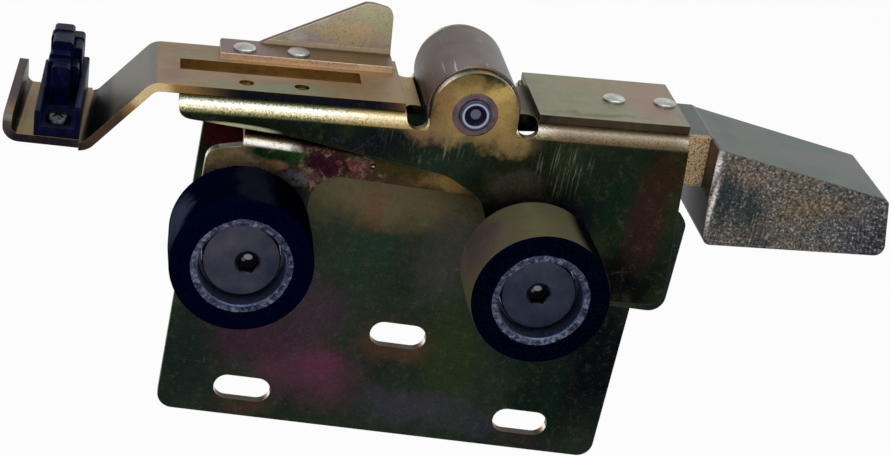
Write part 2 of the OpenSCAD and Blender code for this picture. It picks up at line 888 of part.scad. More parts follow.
// Contact carrier: a tray with two walls on the arm's foot, and a stepped tower in it
carrier_steps = [
    // left, right, front, rear and the drop from the tower's top
    [-3.2, 1.9, -3, 2.6, 4.7],
    [-4.6, -2.4, 0.4, 7, 4.6],
    [1.6, 4.1, 0.9, 9, 5.9],
    [-4.3, 1.7, 2.4, 6, 3.3],
    [-3.8, 2.1, 5, 12.6, 0.5],
    [1.9, 4.7, 6, 15, 2.5],
    [-4.7, 4.8, 12.2, 16.4, 1.9],
    [-4, 1.8, 12.2, 16.4, 0]
];
carrier_wall = 1.8;
left_wall_height = 7.8;
right_wall_height = 9.8;
bridge_middle = 0;
bridge_width = 5.6;
bridge_height = 12;

module on_carrier() {
    on_foot()
    translate([carrier_x, -carrier_depth / 2, 0])
    rotate([0, 0, carrier_turn])
    translate([0, carrier_depth / 2, 0])
    children();
}

module carrier_block(left, right, front, rear, top, r) {
    along_y(front, rear)
        polygon(outline([
            [left, carrier_foot / 2], [right, carrier_foot / 2],
            [right, top, r], [left, top, r]
        ], 4));
}

module bridge_shape(margin) {
    half = bridge_width / 2 + margin;
    top = carrier_height - carrier_steps[6][4] - 1;
    low = top - bridge_height;
    difference() {
        translate([-half, low - margin]) square([2 * half, bridge_height + margin]);
        translate([-half + 1.8 + 2 * margin, low + 3 + margin])
            square([2 * half - 3.6 - 4 * margin, bridge_height]);
    }
}

module contact_carrier() {
    half = carrier_width / 2;
    deep = carrier_depth / 2;
    rear = carrier_steps[6][3];
    color([0.05, 0.06, 0.11])
    on_carrier()
    difference() {
        union() {
            along_z(0, carrier_foot)
                translate([-half, -deep]) square([carrier_width, carrier_depth]);
            carrier_block(-half, carrier_wall - half, -deep, deep, left_wall_height, 0.5);
            carrier_block(half - carrier_wall, half, -deep, deep, right_wall_height, 0.5);
            for (s = carrier_steps)
                carrier_block(s[0], s[1], s[2], s[3], carrier_height - s[4], 1.1);
        }
        translate([bridge_middle, 0, 0]) along_y(rear - bridge_sheet, rear + past) bridge_shape(seat_gap);
        translate([0, -screw_side, -past]) cylinder(h = across, r = screw_r + seat_gap);
    }
}

module contact_bridge() {
    rear = carrier_steps[6][3];
    color([0.80, 0.60, 0.25])
    on_carrier()
    translate([bridge_middle, 0, 0]) along_y(rear - bridge_sheet, rear) bridge_shape(0);
}

module contact_screw() {
    end = -carrier_foot - arm_sheet;
    color([0.70, 0.70, 0.72])
    on_carrier()
    translate([0, -screw_side, carrier_foot])
    difference() {
        rotate_extrude()
            polygon(concat(
                [[0, end], [screw_r - 0.4, end], [screw_r, end + 0.4], [screw_r, 0], [screw_head_r, 0]],
                [for (a = [10 : 16 : 90]) [screw_head_r * cos(a), 2 * (0.3 + 0.7 * sin(a))]]
            ));
        for (turn = [45, 135])
            rotate(turn) translate([-2.1, -0.4, 0.9]) cube([4.2, 0.8, 2]);
    }
}

// Rollers: Z runs forward out of the rear face of the tyre
module left_axis() {
    on_pivot() translate([-left_roller_reach, -roller_back, -roller_drop]) rotate([90, 0, 0]) children();
}

module right_axis() {
    on_lever() translate([right_roller_reach, -roller_back, -roller_drop]) rotate([90, 0, 0]) children();
}

module tyre() {
    color([0.07, 0.08, 0.10])
    rotate_extrude()
        polygon(outline([
            [hub_r, 0], [tyre_r - 0.3, 0, 1.2], [tyre_r, tyre_width / 2],
            [tyre_r - 0.3, tyre_width, 1.2], [hub_r, tyre_width]
        ], 4));
}

module hub() {
    bore = bearing_r + seat_gap;
    groove = bearing_top + snap_ring;
    color([0.42, 0.42, 0.46])
    rotate_extrude()
        polygon([
            [bearing_r - 1.5, 0.5], [hub_r, 0.5], [hub_r, tyre_width - 0.4], [hub_r - 0.4, tyre_width],
            [bore + 0.3, tyre_width], [bore, tyre_width - 0.5], [bore, groove],
            [bearing_r + 0.6, groove], [bearing_r + 0.6, bearing_top], [bore, bearing_top],
            [bore, bearing_setback], [bearing_r - 1.5, bearing_setback]
        ]);
}

// Two bearings stand side by side on the journal
module at_bearings() {
    for (i = [0, 1])
        translate([0, 0, bearing_setback + (i + 0.5) * bearing_width]) children();
}

module race(inner, outer) {
    half = (bearing_width - bearing_gap) / 2;
    difference() {
        rotate_extrude()
            polygon([[inner, -half], [outer, -half], [outer, half], [inner, half]]);
        rotate_extrude() translate([ball_ring_r, 0]) circle(groove_r);
    }
}

module bearing_inner() {
    color([0.70, 0.70, 0.72])
    at_bearings() race(bearing_bore_r, race_in_r);
}

module bearing_outer() {
    color([0.62, 0.62, 0.66])
    at_bearings() race(race_out_r, bearing_r);
}

module bearing_balls() {
    color([0.80, 0.80, 0.82])
    at_bearings()
        for (i = [0 : ball_count - 1])
            rotate(i * 360 / ball_count) translate([ball_ring_r, 0, 0]) sphere(ball_r);
}

module snap_ring() {
    outer = bearing_r + 0.55;
    color([0.35, 0.35, 0.38])
    translate([0, 0, bearing_top])
    linear_extrude(snap_ring)
        difference() {
            circle(outer);
            circle(bearing_r - 0.9);
            polygon([[0, 0], 2 * outer * [-0.12, 1], 2 * outer * [0.12, 1]]);
        }
}

// Bolt: a disc head, a collar, a journal for the bearings and a thread beside its axis
module roller_bolt(wall_drop, wall_sheet, shift) {
    head_top = head_under + bolt_head;
    journal_end = 0.3 - wall_drop;
    thread_end = -wall_drop - wall_sheet - washer_height - nut_height - 1.6;
    color([0.30, 0.31, 0.34])
    difference() {
        union() {
            rotate_extrude()
                polygon([
                    [0, journal_end], [bearing_bore_r - seat_gap, journal_end],
                    [bearing_bore_r - seat_gap, bearing_top], [collar_r, bearing_top],
                    [collar_r, head_under], [bolt_head_r - 0.3, head_under],
                    [bolt_head_r, head_under + 0.3], [bolt_head_r, head_top - 0.3],
                    [bolt_head_r - 0.3, head_top], [0, head_top]
                ]);
            translate([shift.x, shift.y, thread_end])
                rotate_extrude()
                polygon([
                    [0, 0], [thread_r - 0.6, 0], [thread_r, 0.6],
                    [thread_r, journal_end - thread_end + past], [0, journal_end - thread_end + past]
                ]);
        }
        translate([shift.x, shift.y, head_top - 4])
            cylinder(h = 4 + past, r = socket_flats / 2 / cos(30), $fn = 6);
        translate([shift.x, shift.y, head_top])
            rotate_extrude() polygon([[0, -0.7], [socket_flats / 2, -0.7], [socket_flats / 2 + 1, 0.3], [0, 0.3]]);
    }
}

module spacer(wall_drop) {
    color([0.55, 0.55, 0.58])
    rotate_extrude()
        polygon([
            [bearing_bore_r + seat_gap, -wall_drop], [collar_r, -wall_drop],
            [collar_r, bearing_setback], [bearing_bore_r + seat_gap, bearing_setback]
        ]);
}

module washer(wall_drop, wall_sheet, shift) {
    color([0.66, 0.64, 0.55])
    translate([shift.x, shift.y, -wall_drop - wall_sheet - washer_height])
    linear_extrude(washer_height)
        difference() {
            circle(collar_r + 0.5);
            circle(thread_r + 0.2);
        }
}

module nut(wall_drop, wall_sheet, shift) {
    base = -wall_drop - wall_sheet - washer_height - nut_height;
    corner_radius = nut_flats / 2 / cos(30);
    color([0.64, 0.60, 0.48])
    translate([shift.x, shift.y, base])
    difference() {
        intersection() {
            cylinder(h = nut_height, r = corner_radius, $fn = 6);
            rotate_extrude()
                polygon([
                    [0, 0], [corner_radius - 1, 0], [corner_radius + 0.2, 0.8],
                    [corner_radius + 0.2, nut_height - 0.8], [corner_radius - 1, nut_height], [0, nut_height]
                ]);
        }
        translate([0, 0, -past]) cylinder(h = nut_height + 2 * past, r = thread_r + seat_gap);
    }
}

base_plate();
pivot_boss();
pivot_pin();
left_axis() roller_bolt(left_wall, base_sheet, thread_shift);  // left_roller_bolt
left_axis() spacer(left_wall);  // left_spacer
left_axis() washer(left_wall, base_sheet, thread_shift);  // left_washer
left_axis() nut(left_wall, base_sheet, thread_shift);  // left_nut
left_axis() bearing_inner();  // left_bearing_inner
lever_channel();
contact_arm();
hook_plate();
fin_bracket();
arm_rivets();
hook_block();
hook_rivets();
ear_bush_front();
ear_bush_rear();
contact_carrier();
contact_bridge();
contact_screw();
right_axis() roller_bolt(roller_gap, lever_sheet, [0, 0]);  // right_roller_bolt
right_axis() spacer(roller_gap);  // right_spacer
right_axis() washer(roller_gap, lever_sheet, [0, 0]);  // right_washer
right_axis() nut(roller_gap, lever_sheet, [0, 0]);  // right_nut
right_axis() bearing_inner();  // right_bearing_inner
left_axis() tyre();  // left_tyre
left_axis() hub();  // left_hub
left_axis() bearing_outer();  // left_bearing_outer
left_axis() bearing_balls();  // left_bearing_balls
left_axis() snap_ring();  // left_snap_ring
right_axis() tyre();  // right_tyre
right_axis() hub();  // right_hub
right_axis() bearing_outer();  // right_bearing_outer
right_axis() bearing_balls();  // right_bearing_balls
right_axis() snap_ring();  // right_snap_ring
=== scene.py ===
# %% [markdown]
# # A landing door lock
#
# The lock's metal parts come in as finished solids. This notebook gives them
# their look: yellow zinc plating with its drifting olive, gold and violet
# tones, worn edges, rubber, moulded plastic and a rough cast hook, with light
# and shade painted into their colours: highlights on folds and edges, lit
# tops and shade in creases. It also adds the small things that are easier to
# compute as surfaces than to model as solids: the ragged rubber flash round
# the hubs, the bearings' shields and the bolts' threads.

# %% Load the lock
import math

import bpy
import numpy as np
from mathutils import Matrix, Vector


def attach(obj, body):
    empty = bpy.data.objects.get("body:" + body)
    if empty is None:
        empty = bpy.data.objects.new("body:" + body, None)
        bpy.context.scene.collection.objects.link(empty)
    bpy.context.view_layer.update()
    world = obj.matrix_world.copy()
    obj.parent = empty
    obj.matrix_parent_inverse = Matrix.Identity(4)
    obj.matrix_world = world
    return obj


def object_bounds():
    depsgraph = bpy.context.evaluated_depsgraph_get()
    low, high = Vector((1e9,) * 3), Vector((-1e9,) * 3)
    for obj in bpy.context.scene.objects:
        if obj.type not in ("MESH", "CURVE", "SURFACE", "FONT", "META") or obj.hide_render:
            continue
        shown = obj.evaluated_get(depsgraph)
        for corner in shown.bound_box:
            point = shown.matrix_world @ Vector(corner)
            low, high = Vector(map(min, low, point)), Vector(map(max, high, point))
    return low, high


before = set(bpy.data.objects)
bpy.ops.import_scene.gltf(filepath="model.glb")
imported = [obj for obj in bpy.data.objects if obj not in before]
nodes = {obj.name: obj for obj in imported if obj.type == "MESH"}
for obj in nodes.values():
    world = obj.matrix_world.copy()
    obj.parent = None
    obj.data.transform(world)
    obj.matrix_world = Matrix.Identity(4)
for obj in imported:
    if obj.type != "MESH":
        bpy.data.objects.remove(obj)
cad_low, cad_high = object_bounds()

print("pieces:", len(nodes))
print("size in mm:", [round(1000 * (b - a), 1) for a, b in zip(cad_low, cad_high)])

# %% [markdown]
# ## The camera
#
# The picture is 891 by 456 pixels. The lens and the camera's place and turn
# were found by fitting edges and circles of the lock, so they are plain
# numbers: a place in metres, a heading, a downward pitch and a roll in
# degrees, and a focal length in pixels. A camera looks along its own -Z with
# its +Y up, so the three columns of its matrix are right, up and back.

# %% Make the camera
IMAGE_WIDTH = 891
SENSOR_WIDTH = 36.0
FOCAL_PIXELS = 2023.7
CAMERA_PLACE = Vector((-0.1135, -0.5630, 0.3129))
YAW, PITCH, ROLL = (math.radians(a) for a in (12.165, 23.430, 12.833))

forward = Vector((
    math.sin(YAW) * math.cos(PITCH), math.cos(YAW) * math.cos(PITCH), -math.sin(PITCH)))
level_right = forward.cross(Vector((0, 0, 1))).normalized()
level_up = level_right.cross(forward)
right = math.cos(ROLL) * level_right + math.sin(ROLL) * level_up
up = math.cos(ROLL) * level_up - math.sin(ROLL) * level_right

camera_data = bpy.data.cameras.new("camera")
camera_data.sensor_fit = "HORIZONTAL"
camera_data.sensor_width = SENSOR_WIDTH
camera_data.lens = FOCAL_PIXELS / IMAGE_WIDTH * SENSOR_WIDTH
camera = bpy.data.objects.new("camera", camera_data)
turn = Matrix((right, up, -forward)).transposed().to_4x4()
camera.matrix_world = Matrix.Translation(CAMERA_PLACE) @ turn
bpy.context.scene.collection.objects.link(camera)
bpy.context.scene.camera = camera
print("lens in mm:", round(camera_data.lens, 1))

# %% [markdown]
# ## Building a finish
#
# A finish is a small graph of nodes that ends in one Principled shader. It
# could be drawn by hand in the shader editor, but as code the same few steps
# serve every piece. The steps are methods of a class that grows in layers
# from cell to cell. The first layer makes the material, any node, and the two
# sums that everything else needs.

# %% A material and its nodes
MM = 0.001


def srgb(r, g, b):
    """A colour read as 0 to 255 turned into the linear values that a shader takes."""
    c = np.array([r, g, b]) / 255
    linear = np.where(c <= 0.04045, c / 12.92, ((c + 0.055) / 1.055) ** 2.4)
    return (*[float(v) for v in linear], 1.0)


class Graph:
    """One material and the nodes that feed its shader."""

    def __init__(self, name, metallic, roughness, shine=0.5):
        self.material = bpy.data.materials.new(name)
        self.material.use_nodes = True
        self.tree = self.material.node_tree
        self.shader = self.tree.nodes["Principled BSDF"]
        self.shader.inputs["Metallic"].default_value = metallic
        self.shader.inputs["Roughness"].default_value = roughness
        self.shader.inputs["Specular IOR Level"].default_value = shine
        self.coordinates = self.tree.nodes.new("ShaderNodeTexCoord")

    def node(self, kind, settings=(), inputs=()):
        """A new node with its settings. An input is linked where it is given another
        node's output, and set where it is given a number or a colour."""
        made = self.tree.nodes.new(kind)
        for key, value in settings:
            setattr(made, key, value)
        for key, value in inputs:
            if isinstance(value, bpy.types.NodeSocket):
                self.tree.links.new(value, made.inputs[key])
            else:
                made.inputs[key].default_value = value
        return made

    def maths(self, operation, a, b=0.0):
        """One sum with two numbers, such as MULTIPLY."""
        return self.node("ShaderNodeMath", [("operation", operation)], [(0, a), (1, b)]).outputs[0]

    def between(self, value, low, high, to_low=0.0, to_high=1.0):
        """value, mapped smoothly from low..high to to_low..to_high."""
        made = self.node("ShaderNodeMapRange", [("interpolation_type", "SMOOTHSTEP")], [
            ("Value", value), ("From Min", low), ("From Max", high),
            ("To Min", to_low), ("To Max", to_high)])
        return made.outputs["Result"]


# %% [markdown]
# ## Patterns in millimetres
#
# Every pattern reads the Object coordinates, scaled to millimetres, so a
# scale of 0.1 means one wave in 10 mm. Generated coordinates would stretch
# with each piece's box, and a picture would need the piece unwrapped. Object
# coordinates need neither, and the pattern stays on the metal when the lever
# moves.

# %% Noise, colours along it, and mixing
class Patterns(Graph):
    """Adds noise measured in millimetres, and colours."""

    def place(self, stretch=(1, 1, 1), shift=(0, 0, 0)):
        """Object coordinates in millimetres, stretched and shifted."""
        scale = [1 / MM * s for s in stretch]
        made = self.node("ShaderNodeMapping", inputs=[
            ("Vector", self.coordinates.outputs["Object"]), ("Scale", scale), ("Location", shift)])
        return made.outputs["Vector"]

    def noise(self, waves, detail=3.0, rough=0.55, bent=0.0, stretch=(1, 1, 1), shift=(0, 0, 0)):
        """Noise with that many waves in a millimetre."""
        made = self.node("ShaderNodeTexNoise", inputs=[
            ("Vector", self.place(stretch, shift)), ("Scale", waves), ("Detail", detail),
            ("Roughness", rough), ("Distortion", bent)])
        return made.outputs["Fac"]

    def ramp(self, value, stops):
        """Colours at their places along value."""
        made = self.node("ShaderNodeValToRGB", inputs=[("Fac", value)])
        line = made.color_ramp
        while len(line.elements) < len(stops):
            line.elements.new(0.5)
        for element, (place, colour) in zip(line.elements, stops):
            element.position = place
            element.color = colour
        return made.outputs["Color"]

    def mix(self, amount, a, b):
        """Colour a where amount is 0, colour b where it is 1."""
        colour_a, colour_b = 6, 7
        made = self.node("ShaderNodeMix", [("data_type", "RGBA")], [
            ("Factor", amount), (colour_a, a), (colour_b, b)])
        return made.outputs[2]


# %% [markdown]
# ## Spots
#
# A noise alone never puts a green cloud where the real lock has one. A spot
# does: it is a soft ellipsoid with a place and three radii in millimetres. All
# spots of a finish share one noise that wavers their edges, so that they look
# grown and not drawn. A spot marked STEADY keeps its edge exactly, which a
# thin line along the edge of a sheet needs.

# %% Spots at their places
STEADY = True
WAVER_REACH = 0.020
WAVER_WAVES = 0.07


class Spots(Patterns):
    """Adds soft ellipsoids of colour."""

    wavered = None

    def vectors(self, operation, a, b):
        """One sum with two vectors, such as ADD."""
        made = self.node("ShaderNodeVectorMath", [("operation", operation)], [(0, a), (1, b)])
        return made.outputs[0]

    def wavering(self):
        """Object coordinates pushed about by a cloudy noise, by up to some millimetres."""
        if self.wavered is None:
            cloud = self.node("ShaderNodeTexNoise", inputs=[
                ("Vector", self.place()), ("Scale", WAVER_WAVES), ("Detail", 5.0),
                ("Roughness", 0.62)])
            push = self.vectors("SUBTRACT", cloud.outputs["Color"], (0.5, 0.5, 0.5))
            push = self.vectors("MULTIPLY", push, (WAVER_REACH, WAVER_REACH, WAVER_REACH))
            self.wavered = self.vectors("ADD", push, self.coordinates.outputs["Object"])
        return self.wavered

    def spot(self, place, radius, soft=0.75, straight=False):
        """1 in the middle of an ellipsoid at that place with those radii, 0 outside: the
        distance from its place, measured in radii, decides. soft is the share that fades."""
        vector = self.coordinates.outputs["Object"] if straight else self.wavering()
        scaled = self.node("ShaderNodeMapping", inputs=[
            ("Vector", vector), ("Scale", [1 / MM / r for r in radius]),
            ("Location", [-p / r for p, r in zip(place, radius)])])
        away = self.node("ShaderNodeVectorMath", [("operation", "LENGTH")],
                         [(0, scaled.outputs["Vector"])])
        return self.between(away.outputs["Value"], 1.0, 1.0 - soft)

    def paint(self, colour, spots):
        """colour with spots over it, each given as place, radii, tone and amount, and
        STEADY where it keeps its place and its edge exactly."""
        for place, radius, tone, amount, *steady in spots:
            patch = self.spot(place, radius, soft=0.5 if steady else 0.75, straight=bool(steady))
            colour = self.mix(self.maths("MULTIPLY", patch, amount), colour, srgb(*tone))
        return colour


# %% [markdown]
# ## Facing, edges and relief
#
# The last layer reads the shape itself. Which way a face looks tells a wall
# from a top, and the Bevel node finds edges by comparing a rounded normal
# with the true one, so wear and painted highlights lie on the edges of any
# shape. The same node softens sharp edges in the light, with no change to
# the mesh, and a Bump node adds the grain. Displacing the mesh would need
# far more faces.

# %% The whole finish, and how a piece wears it
class Finish(Spots):
    """Adds what depends on the shape, and the outputs to the shader."""

    def facing(self, axis):
        """How far the surface faces along X, Y or Z, from -1 to 1."""
        made = self.node("ShaderNodeSeparateXYZ", inputs=[(0, self.coordinates.outputs["Normal"])])
        return made.outputs[axis]

    def rounded(self, radius):
        """The normal as it would be if edges were rounded by the radius in millimetres."""
        made = self.node("ShaderNodeBevel", [("samples", 6)], [("Radius", radius * MM)])
        return made.outputs["Normal"]

    def edges(self, radius):
        """1 on outer and inner edges, fading out over the radius in millimetres."""
        true = self.node("ShaderNodeNewGeometry")
        dot = self.node("ShaderNodeVectorMath", [("operation", "DOT_PRODUCT")], [
            (0, self.rounded(radius)), (1, true.outputs["Normal"])])
        return self.between(dot.outputs["Value"], 0.98, 0.80)

    def colour(self, value):
        """Gives the shader its colour."""
        self.tree.links.new(value, self.shader.inputs["Base Color"])

    def rough(self, value):
        """Gives the shader its roughness."""
        self.tree.links.new(value, self.shader.inputs["Roughness"])

    def bump(self, height, depth, edge_radius):
        """Height in 0..1 raised by depth millimetres, over edges rounded by edge_radius."""
        made = self.node("ShaderNodeBump", inputs=[
            ("Height", height), ("Distance", depth * MM), ("Strength", 1.0),
            ("Normal", self.rounded(edge_radius))])
        self.tree.links.new(made.outputs["Normal"], self.shader.inputs["Normal"])


def wear(finish, names):
    """Puts a finish on CAD pieces, by their names."""
    for name in names:
        mesh = nodes[name].data
        mesh.materials.clear()
        mesh.materials.append(finish.material)
    print(finish.material.name, "on:", ", ".join(names))


# %% [markdown]
# ## Yellow zinc plating
#
# The sheet parts are zinc plated and chromated. The film is about as thin as
# a wave of light, so its colour drifts between olive, gold, green and violet.
# A thin film could be worked out from the angle of the light, but then its
# clouds wouldn't lie where the real ones do. So each sheet has three tones,
# which paint how it is lit as well as its colour: one for its walls, mostly
# dark as painted shade, one for what faces up and one for its folds. The fold
# tones are a painted highlight, pale where a fold faces the light and painted
# shade where it turns away. A slow noise darkens and lightens each tone, and
# spots lay the bigger clouds over it. A fold is found from the surface itself:
# it faces between up and forward. What faces back drifts without spots.

# %% The tones of a sheet
def sheet_tones(f, wall, top, fold, grain):
    """wall and top are each a dark tone, a light tone and a list of spots. fold is a list of
    how far up it faces, with the tone there, and a list of spots."""
    cloud = f.noise(0.06, detail=5, rough=0.65, bent=0.7)
    wall_tone, top_tone = (
        f.paint(f.ramp(cloud, [(0.34, srgb(*dark)), (0.66, srgb(*light))]), spots)
        for dark, light, spots in (wall, top))
    drift = f.noise(0.022, detail=4, rough=0.5, bent=0.2, shift=(30, 9, 14))
    behind = f.ramp(drift, [(0.34, srgb(*wall[0])), (0.50, srgb(*wall[1])),
                            (0.62, srgb(70, 64, 46)), (0.76, srgb(54, 42, 50))])
    front = f.mix(f.between(f.facing("Y"), 0.4, 0.8, 0, 0.85), wall_tone, behind)
    lift = f.facing("Z")
    # Walls and tops have their own tones, which paint how each is lit.
    colour = f.mix(f.between(lift, 0.80, 0.97), front, top_tone)
    # The fold tones are a painted highlight with painted shade, by how far the fold faces up.
    on_fold = f.maths("MULTIPLY", f.between(lift, 0.05, 0.20), f.between(lift, 0.985, 0.93))
    grainy_lift = f.maths("ADD", lift, f.between(grain, 0.3, 0.7, -0.11, 0.11))
    painted_fold_light = f.ramp(grainy_lift, [(place, srgb(*tone)) for place, tone in fold[0]])
    return f.mix(on_fold, colour, f.paint(painted_fold_light, fold[1]))


# %% [markdown]
# ## Flecks, scratches, and worn edges with painted highlights
#
# Handling leaves three marks on plating. Flecks are small blotches, faint
# nearly everywhere and strong at a few places. Scratches run upright, so
# their noise is stretched along Z. Edges are worn to a plainer tone, which on
# most sheets is paler than the walls and so also a painted highlight along
# the edges. One function then puts the marks over the tones, and each sheet
# calls it with its own numbers.

# %% The plating as a function of its tones
FAINT_FLECKS = 0.10


def flecked(f, colour, grain, mottled):
    """Pale and deep flecks over colour, strong at the places and radii in mottled."""
    flecks = f.noise(0.34, detail=5, rough=0.8, bent=0.3, shift=(4, 6, 8))
    amount = FAINT_FLECKS
    for place, radius in mottled:
        amount = f.maths("MAXIMUM", amount, f.spot(place, radius, straight=True))
    pale = f.maths("MULTIPLY", f.between(flecks, 0.52, 0.66), amount)
    deep = f.maths("MULTIPLY", f.between(flecks, 0.49, 0.36), amount)
    colour = f.mix(f.maths("MULTIPLY", pale, 0.6), colour, srgb(150, 124, 98))
    colour = f.mix(f.maths("MULTIPLY", deep, 0.7), colour, srgb(26, 14, 18))
    colour = f.mix(f.between(grain, 0.48, 0.30, 0, 0.45), colour, srgb(0, 0, 0))
    return f.mix(f.between(grain, 0.62, 0.80, 0, 0.25), colour, srgb(150, 146, 130))


def scratched(f, colour, lines, rubs):
    """Fine scratches over colour, strong at the places and radii in rubs."""
    fine = f.between(lines, 0.66, 0.78, 0, 0.3)
    for place, radius in rubs:
        strong = f.between(lines, 0.54, 0.68, 0, 0.7)
        fine = f.maths("MAXIMUM", fine, f.maths("MULTIPLY", strong, f.spot(place, radius)))
    return f.mix(fine, colour, srgb(128, 128, 112))


def plating(name, wall, top, fold, edge, rough=0.38, rubs=(), mottled=(), wear_and_highlight=0.45):
    """A plated sheet: its tones, flecks and scratches, with edges worn and painted bright."""
    f = Finish(name, metallic=1.0, roughness=rough)
    grain = f.noise(1.9, detail=3, rough=0.7)
    lines = f.noise(1.1, detail=4, rough=0.75, stretch=(1.7, 1.7, 0.07), shift=(3, 3, 3))
    colour = sheet_tones(f, wall, top, fold, grain)
    colour = flecked(f, colour, grain, mottled)
    colour = scratched(f, colour, lines, rubs)
    # The edge tone is wear and also a painted highlight along the edges.
    colour = f.mix(f.maths("MULTIPLY", f.edges(0.35), wear_and_highlight), colour, srgb(*edge))
    f.colour(colour)
    f.rough(f.between(grain, 0.2, 0.8, rough - 0.07, rough + 0.1))
    height = f.maths("ADD", f.maths("MULTIPLY", grain, 0.5), f.maths("MULTIPLY", lines, 0.5))
    f.bump(height, 0.03, edge_radius=0.25)
    return f


# %% [markdown]
# ## The folded base
#
# The base is one folded sheet, and each part of it drifts its own way. The
# big plate is deep green grey, tan under the front wall, with a magenta cloud
# low on the left, slate below and near black green at its right. The clouds
# could come from one more noise, but then none would lie where it should. So
# they are a list: a place on the plate, three radii, a tone and an amount.
# All numbers are millimetres, and the plate's depth has a name of its own.

# %% Clouds of the rear plate
PLATE = -3.0
plate_spots = [
    ((-10, PLATE, 73), (44, 14, 16), (88, 80, 58), 0.95),
    ((-16, PLATE, 68), (5, 14, 16), (98, 68, 52), 0.6),
    ((10, PLATE, 54), (13, 14, 22), (58, 56, 56), 0.7),
    ((-14, PLATE, 46), (17, 14, 18), (34, 48, 36), 0.7),
    ((-28, PLATE, 32), (15, 14, 18), (58, 44, 54), 0.8),
    ((-26, PLATE, 9), (24, 14, 17), (74, 44, 58), 0.85),
    ((-46, PLATE, 19), (22, 14, 15), (58, 34, 50), 0.8),
    ((-22, PLATE, 12), (9, 14, 8), (92, 44, 64), 0.5),
    ((-65, PLATE, 6), (11, 14, 24), (22, 34, 32), 0.9),
    ((1, PLATE, 22), (17, 14, 10), (74, 50, 38), 0.75),
    ((18, PLATE, 22), (14, 14, 32), (38, 50, 26), 0.7),
    ((-13, PLATE, 54), (12, 14, 10), (30, 52, 40), 0.6),
    ((30, PLATE, 42), (16, 14, 14), (28, 40, 34), 0.6),
    ((34, PLATE, -4), (12, 14, 5), (48, 46, 64), 0.5),
    ((52, PLATE, 10), (18, 14, 30), (10, 24, 20), 0.9),
    ((66, PLATE, 26), (16, 14, 40), (8, 12, 16), 1.0),
    ((10, PLATE, 1), (28, 14, 9), (52, 50, 60), 0.8),
    ((-44, PLATE, -5), (13, 14, 5), (66, 46, 38), 0.7),
    ((46, PLATE, -4), (15, 14, 5), (44, 36, 36), 0.6),
    # A maroon cloud darkened as painted shade, between the lever and the front wall's shoulder.
    ((-65, PLATE, 85), (8, 14, 5), (88, 20, 32), 0.9, STEADY),
    ((-66, PLATE, 90.5), (9, 14, 3), (104, 84, 54), 0.7, STEADY),
]
print("clouds on the plate:", len(plate_spots))

# %% [markdown]
# ## The base's front wall
#
# The front wall is brown, with small clouds of green, maroon and gold, and
# bluish specks beside the left roller. It lies well in front of the plate, so
# both lists can share one tone: no spot is deep enough to reach the other
# sheet. The fold above the front wall has a painted highlight, nearly white
# low down, and painted shade, dark brown close to the top. Painted shade
# darkens both folds under the lever, and a few spots paint light and shade
# on the front wall itself.

# %% Finish of the base
FRONT = -33.5
front_spots = [
    ((-10, FRONT, 92), (66, 10, 14), (60, 44, 34), 0.9),
    # A tan cloud with painted light: much paler than its colour, against the shade under the
    # lever.
    ((-63, FRONT, 90), (17, 10, 9), (204, 176, 138), 1.0),
    ((-67, FRONT, 93), (8, 10, 4), (150, 148, 92), 0.8),
    ((-51, FRONT, 94), (13, 10, 3.6), (34, 70, 38), 1.0, STEADY),
    ((-38, FRONT, 93), (8, 10, 6), (48, 16, 28), 0.95, STEADY),
    ((-52, FRONT, 90.2), (5, 10, 1.8), (176, 134, 96), 0.9, STEADY),
    ((-44, FRONT, 88), (7, 10, 4), (84, 60, 58), 0.8, STEADY),
    ((-46.5, FRONT, 87), (6, 10, 3), (104, 112, 120), 0.6, STEADY),
    ((-30, FRONT, 94), (7, 10, 6), (84, 44, 46), 0.8),
    ((-17, FRONT, 94), (14, 10, 5), (50, 46, 18), 0.9),
    ((-1, FRONT, 92.5), (14, 10, 5), (122, 98, 56), 0.9),
    # Painted shade: a thin dark shadow line upright on the front wall.
    ((-33.6, FRONT, 93), (1.6, 10, 6), (26, 14, 20), 0.8),
    ((70, FRONT, 75), (8, 10, 20), (30, 34, 40), 0.8),
]
base_top_spots = [
    ((0, -17, 98), (90, 40, 8), (120, 108, 78), 0.9),
    # A painted highlight on the front wall's top left edge.
    ((-66, -33, 93.6), (10, 6, 5), (244, 234, 220), 0.95, STEADY),
]
base_fold_painted_shade = [
    # Painted shade: the folds darken under the lever, and the front fold goes black in the notch.
    ((0, PLATE, 97), (90, 8, 8), (60, 54, 40), 1.0),
    ((-37, FRONT, 97), (14, 9, 6), (46, 28, 28), 1.0, STEADY),
    ((-14, FRONT, 97), (27, 9, 6), (44, 36, 26), 1.0, STEADY),
    ((14, FRONT, 97), (24, 9, 6), (96, 78, 50), 0.95, STEADY),
    ((20, FRONT, 98), (13, 14, 9), (4, 4, 6), 1.0, STEADY),
]
# Painted highlight and painted shade of the front wall's fold, by how far it faces up.
base_fold_painted_light = [
    (0.04, (210, 204, 190)), (0.14, (255, 252, 246)), (0.42, (255, 248, 232)),
    (0.60, (150, 124, 84)), (0.80, (50, 38, 28))]
base_finish = plating(
    "base_plating",
    wall=((24, 34, 28), (40, 48, 38), plate_spots + front_spots),
    top=((46, 38, 30), (66, 54, 42), base_top_spots),
    fold=(base_fold_painted_light, base_fold_painted_shade),
    edge=(104, 88, 66), mottled=[((-42, FRONT, 90), (34, 8, 12))])
wear(base_finish, ["base_plate"])

# %% [markdown]
# ## The lever
#
# The lever is the second folded channel, turned upside down over the base.
# Its wall is deep green, almost black, with upright rubbing marks. Its ear is
# gold, the part above the right roller a dusty tan, and the right end a dark
# maroon. The clouds are a list again, first along the wall and then up the
# ear, because a later spot covers an earlier one.

